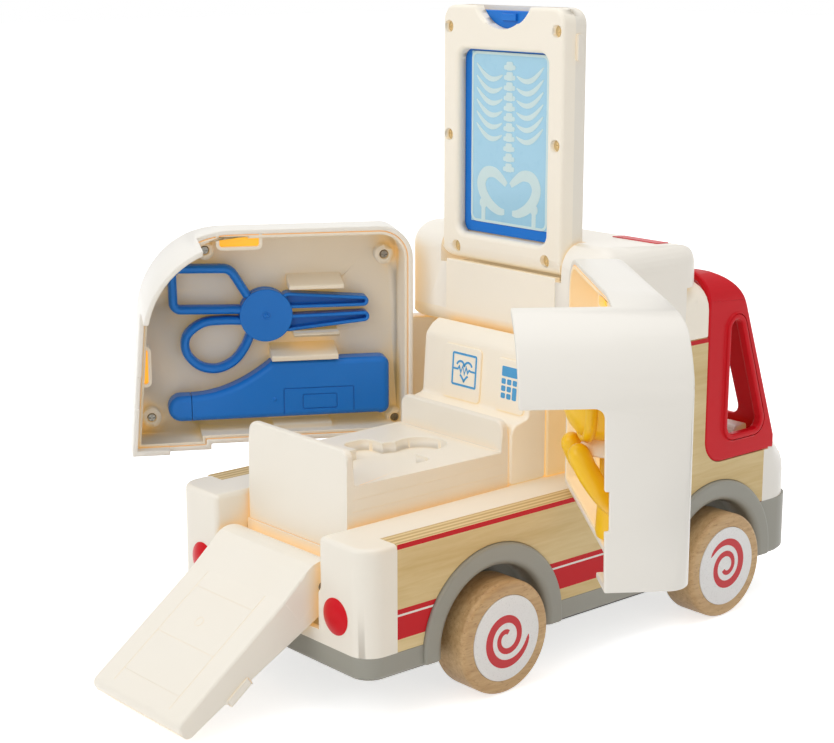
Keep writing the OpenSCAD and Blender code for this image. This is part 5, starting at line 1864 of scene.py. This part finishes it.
@dataclass
class Thermometer:
    """Play thermometer in the left tray: a rounded handle that narrows to its tip, with an engraved door."""

    tray: RearShell
    lift_mm: float = 0.3
    thick_mm: float = 12.8
    rear_mm: float = -125.0
    front_mm: float = -18.5
    low_mm: float = 66.0
    high_mm: float = 97.0
    tip_mm: float = 6.2
    tilt_mm: float = 3.0
    cap_mm: float = -114.0
    neck_mm: float = -75.0
    corner_mm: float = 4.0
    edge_mm: float = 3.0
    line_mm: float = 0.5
    door: tuple[Point3, ...] = ((-70.0, 67.0, 0), (-70.0, 83.4, 0.6), (-36.2, 83.4, 0.6), (-36.2, 67.0, 0))
    window_mm: tuple[float, float, float, float] = (-60.9, -44.4, 73.2, 80.2)
    dot_mm: Point2 = (-74.4, 78.3)

    def outline(self) -> list[Point2]:
        """Draws the side view, anticlockwise.

        Returns:
            The outline's points.
        """
        probe = self.low_mm + self.tilt_mm
        rise = self.high_mm - probe - 2 * self.tip_mm
        sweep = [(self.neck_mm + (self.cap_mm - self.neck_mm) * t,
                  probe + 2 * self.tip_mm + rise * (1 - t) ** 2)
                 for t in (k / 20 for k in range(21))]
        end = rounded([(self.front_mm, self.low_mm, self.corner_mm),
                       (self.front_mm, self.high_mm, self.corner_mm),
                       (self.neck_mm, self.high_mm, 0)], 6)[:-1]
        centre = (self.rear_mm + self.tip_mm, probe + self.tip_mm)
        tip = [(centre[0] + self.tip_mm * math.cos(a), centre[1] + self.tip_mm * math.sin(a))
               for a in (math.pi / 2 + math.pi * k / 16 for k in range(17))]
        return end + sweep + tip

    def build(self) -> None:
        """Makes the handle, the tip and the dot."""
        place = self.tray.tray_place(self.lift_mm)
        top = self.thick_mm
        bm = bmesh.new()
        slab(bm, self.outline(), 0.0, top, self.edge_mm, place, steps=6)
        whole = finished(bm, "thermometer_whole")
        knife = bmesh.new()
        groove = flat(self.line_mm, top - 0.45, top + 1.0)
        rail(knife, rounded(self.door, 3), groove, place)
        x0, x1, z0, z1 = self.window_mm
        rail(knife, rounded([(x0, z0, 1), (x1, z0, 1), (x1, z1, 1), (x0, z1, 1)], 3),
             groove, place, closed=True)
        whole = carved(whole, finished(knife, "thermometer_lines"))
        normal = (self.tray.matrix().to_3x3() @ Vector((1, 0, 0))).normalized()
        for name, sign in (("thermometer", 1), ("thermometer_tip", -1)):
            part = bmesh.new()
            part.from_mesh(whole)
            cut = bmesh.ops.bisect_plane(
                part, geom=part.verts[:] + part.edges[:] + part.faces[:], dist=1e-7,
                plane_co=place(self.cap_mm + sign * 0.15, 75.0, 0.0),
                plane_no=normal * -sign, clear_outer=True)
            rim = [e for e in cut["geom_cut"] if isinstance(e, bmesh.types.BMEdge)]
            bmesh.ops.edgeloop_fill(part, edges=rim)
            if sign > 0:
                turned(part, [(0.0, top - 1.0), (1.0, top - 1.0), (1.0, top),
                              (0.6, top + 0.4), (0.0, top + 0.45)],
                       lambda u, v, w: place(self.dot_mm[0] + u, self.dot_mm[1] + v, w), 20)
            place_piece(name + "_piece", finished(part, name),
                        "thermometer_tool", "blue_abs", [Finish.BLUE], [name])


@dataclass
class Figure:
    """Small play figure in the right tray: a plain hooded doll with bent arms and a pale collar."""

    tray: RearShell
    x_mm: float = -100.0
    axis_mm: float = 44.3
    foot_mm: float = 64.5
    head_mm: float = 16.5
    trunk_mm: float = 38.0
    collar_mm: float = 4.0
    arm_mm: float = 4.4
    brim_mm: float = 14.6
    head_out_mm: float = 4.0
    collar_out_mm: float = 2.0
    trunk_out_mm: float = -4.0
    arm: tuple[Point3, ...] = ((8.5, 15.5, 36.5), (10.8, 12.5, 30.0), (11.2, 7.5, 22.5), (8.8, 2.5, 16.5))

    def place(self) -> Place:
        """Gives the place function of the figure: across, out of the tray and up."""
        matrix = self.tray.matrix()
        return lambda u, v, w: (matrix @ Vector((self.x_mm + u, self.axis_mm - v, self.foot_mm + w))) * MM

    def limb(self, bm: bmesh.types.BMesh, path: Sequence[Point3], radius: float) -> None:
        """Adds a round limb with round ends.

        Args:
            bm: the mesh.
            path: points on its middle line.
            radius: its radius.
        """
        place = self.place()
        spots = [Vector(p) for p in flowing(path, 5)]
        first, last = (spots[0] - spots[1]).normalized(), (spots[-1] - spots[-2]).normalized()
        caps = [math.radians(a) for a in (80, 55, 28)]
        line = [(spots[0] + first * radius * math.sin(a), math.cos(a)) for a in caps]
        line += [(spot, 1.0) for spot in spots]
        line += [(spots[-1] + last * radius * math.sin(a), math.cos(a)) for a in caps[::-1]]
        rings = []
        for i, (spot, share) in enumerate(line):
            way = (line[min(i + 1, len(line) - 1)][0] - line[max(i - 1, 0)][0]).normalized()
            side = way.cross(Vector((1.0, 0.2, 0.1))).normalized()
            over = side.cross(way)
            rings.append([bm.verts.new(place(*(spot + (side * c + over * s) * radius * share)))
                          for c, s in circle((0.0, 0.0), 1.0, 20)])
        skin(bm, rings, False)

    def build(self) -> None:
        """Makes body, collar and head."""
        place = self.place()
        trunk = self.trunk_mm
        bm = bmesh.new()
        turned(bm, [(0.0, 0.0), (8.5, 0.0), (10.6, 1.0), (11.0, 3.0), (10.4, 14.0), (9.6, 24.0), (9.8, 32.0),
                    (8.6, trunk - 1.5), (6.0, trunk - 0.1), (0.0, trunk - 0.1)],
               lambda u, v, w: place(u, v + self.trunk_out_mm, w), 36)
        for hand in (-1, 1):
            self.limb(bm, [(hand * u, v, w) for u, v, w in self.arm], self.arm_mm)
        place_piece("figure_body_piece", finished(bm, "figure_body"), "figure", "yellow_abs", [Finish.YELLOW],
                    ["figure_body"])
        bm = bmesh.new()
        turned(bm, [(0.0, trunk + 0.2), (7.0, trunk + 0.2), (12.4, trunk - 2.4), (12.8, trunk - 1.7),
                    (9.6, trunk + 2.0), (7.4, trunk + self.collar_mm), (0.0, trunk + self.collar_mm)],
               lambda u, v, w: place(u, v + self.collar_out_mm, w), 36)
        place_piece("figure_collar_piece", finished(bm, "figure_collar"), "figure",
                    "figure_white", [Finish.WHITE], ["figure_collar"])
        self.head()

    def head(self) -> None:
        """Makes the hood with its brim, the face and the eyes."""
        place = self.place()
        out = self.head_out_mm
        foot = self.trunk_mm + self.collar_mm - 0.5
        middle = foot + self.head_mm - 2.5
        hood = bmesh.new()
        turned(hood, [(self.head_mm * math.sin(a), -self.head_mm * math.cos(a))
                      for a in (math.pi * k / 24 for k in range(25))],
               lambda u, v, w: place(u, v + out, max(middle + w, foot)), 40)
        rail(hood, circle((0.0, 0.0), self.brim_mm, 40), oval(4.0, 5.6, 10.4, 12, 1.0),
             lambda u, v, w: place(u, w + out, max(middle + v, foot - 1.0)), closed=True)
        face = bmesh.new()
        turned(face, [(0.0, 9.0), (11.2, 9.0), (10.8, 11.6), (8.6, 14.0), (4.4, 16.0), (0.0, 16.7)],
               lambda u, v, w: place(u, w + out, middle + v), 36)
        eyes = bmesh.new()
        for hand in (-1, 1):
            turned(eyes, [(0.0, 14.0), (1.1, 14.0), (1.0, 16.4), (0.0, 16.7)],
                   lambda u, v, w, h=hand: place(u + 3.8 * h, w + out, middle + v + 1.2), 16)
        mesh = joined("figure_head", [finished(hood, "hood"), finished(face, "face"), finished(eyes, "eyes")],
                      apart=True)
        place_piece("figure_head_piece", mesh, "figure", "yellow_abs",
                    [Finish.YELLOW, Finish.SKIN, Finish.BLUE], ["figure_head"])


@dataclass
class Studio:
    """White floor, soft boxes and the camera at the photographed angle."""

    image_px: Point2 = (834.0, 743.0)
    focal_px: float = 1849.95
    eye_mm: Point3 = (-581.36, -607.27, 291.79)
    azimuth_deg: float = -40.81
    elevation_deg: float = 13.07
    ground_mm: float = -20.0
    sky: float = 0.58
    floor_glow: float = 0.66

    def camera(self) -> None:
        """Adds the camera."""
        data = bpy.data.cameras.new("studio_camera")
        data.sensor_fit = "HORIZONTAL"
        data.sensor_width = 36.0
        data.lens = self.focal_px / self.image_px[0] * data.sensor_width
        data.clip_start = 0.05
        camera = linked("studio_camera", data)
        camera.location = Vector(self.eye_mm) * MM
        camera.rotation_euler = (math.radians(90 - self.elevation_deg), 0.0, math.radians(self.azimuth_deg))
        bpy.context.scene.camera = camera

    def seen(self, tree: bpy.types.NodeTree) -> bpy.types.NodeSocket:
        """Adds a test for rays that show the background to the eye, in glass or in gloss.

        Args:
            tree: the tree that gets the test.

        Returns:
            Its result, 1 for such rays.
        """
        path = add_node(tree, "ShaderNodeLightPath").outputs
        through = maths(tree, "MAXIMUM", path["Is Camera Ray"], path["Is Transmission Ray"])
        return maths(tree, "MAXIMUM", through, path["Is Glossy Ray"])

    def floor(self) -> None:
        """Adds the pale floor, white to the eye and still shaded by the toy."""
        bm = bmesh.new()
        bmesh.ops.create_grid(bm, x_segments=1, y_segments=1, size=6.0,
                              matrix=Matrix.Translation((0, 0, self.ground_mm * MM)))
        mesh = finished(bm, "studio_floor", turn=False)
        floor = linked("studio_floor", mesh)
        material, tree, shader = new_material("pale studio floor")
        feed(tree, shader, {
            "Base Color": linear("#F4F4F4"), "Roughness": 0.7, "Emission Color": linear("#FFFFFF"),
            "Emission Strength": maths(tree, "MULTIPLY", self.seen(tree), self.floor_glow)})
        mesh.materials.append(material)

    def lights(self) -> None:
        """Adds an even white world and three soft boxes."""
        scene = bpy.context.scene
        scene.view_settings.view_transform = "Standard"
        world = bpy.data.worlds.new("studio_world")
        world.use_nodes = True
        tree = world.node_tree
        tree.nodes.clear()
        sky = add_node(tree, "ShaderNodeBackground", inputs={
            "Color": linear("#FFFFFF"), "Strength": ranged(tree, self.seen(tree), low=self.sky)})
        add_node(tree, "ShaderNodeOutputWorld", inputs={"Surface": sky.outputs["Background"]})
        scene.world = world
        for name, place, size, watts in (
            ("key_box", (-1.45, 0.1, 1.1), 1.0, 6.0),
            ("top_box", (0.1, 0.0, 1.8), 1.5, 9.1),
            ("fill_box", (-1.5, -0.9, 0.8), 1.1, 1.0),
        ):
            data = bpy.data.lights.new(name, "AREA")
            data.shape = "DISK"
            data.size = size
            data.energy = watts
            lamp = linked(name, data)
            lamp.location = place
            aim = Vector((0.0, 0.0, 0.08)) - Vector(place)
            lamp.rotation_euler = aim.to_track_quat("-Z", "Y").to_euler()


def main() -> None:
    """Builds the scene."""
    logging.basicConfig(level=logging.INFO, format="%(name)s: %(message)s")
    studio = Studio()
    studio.camera()
    studio.floor()
    studio.lights()
    left, right = RearShell(Side.LEFT), RearShell(Side.RIGHT)
    for assembly in (Chassis(), RearBody(), Cab(), Wheels(), Ramp(), Bed(),
                     Viewer(), left, right, Scissors(left), Thermometer(left), Figure(right)):
        assembly.build()


if __name__ == "__main__":
    main()
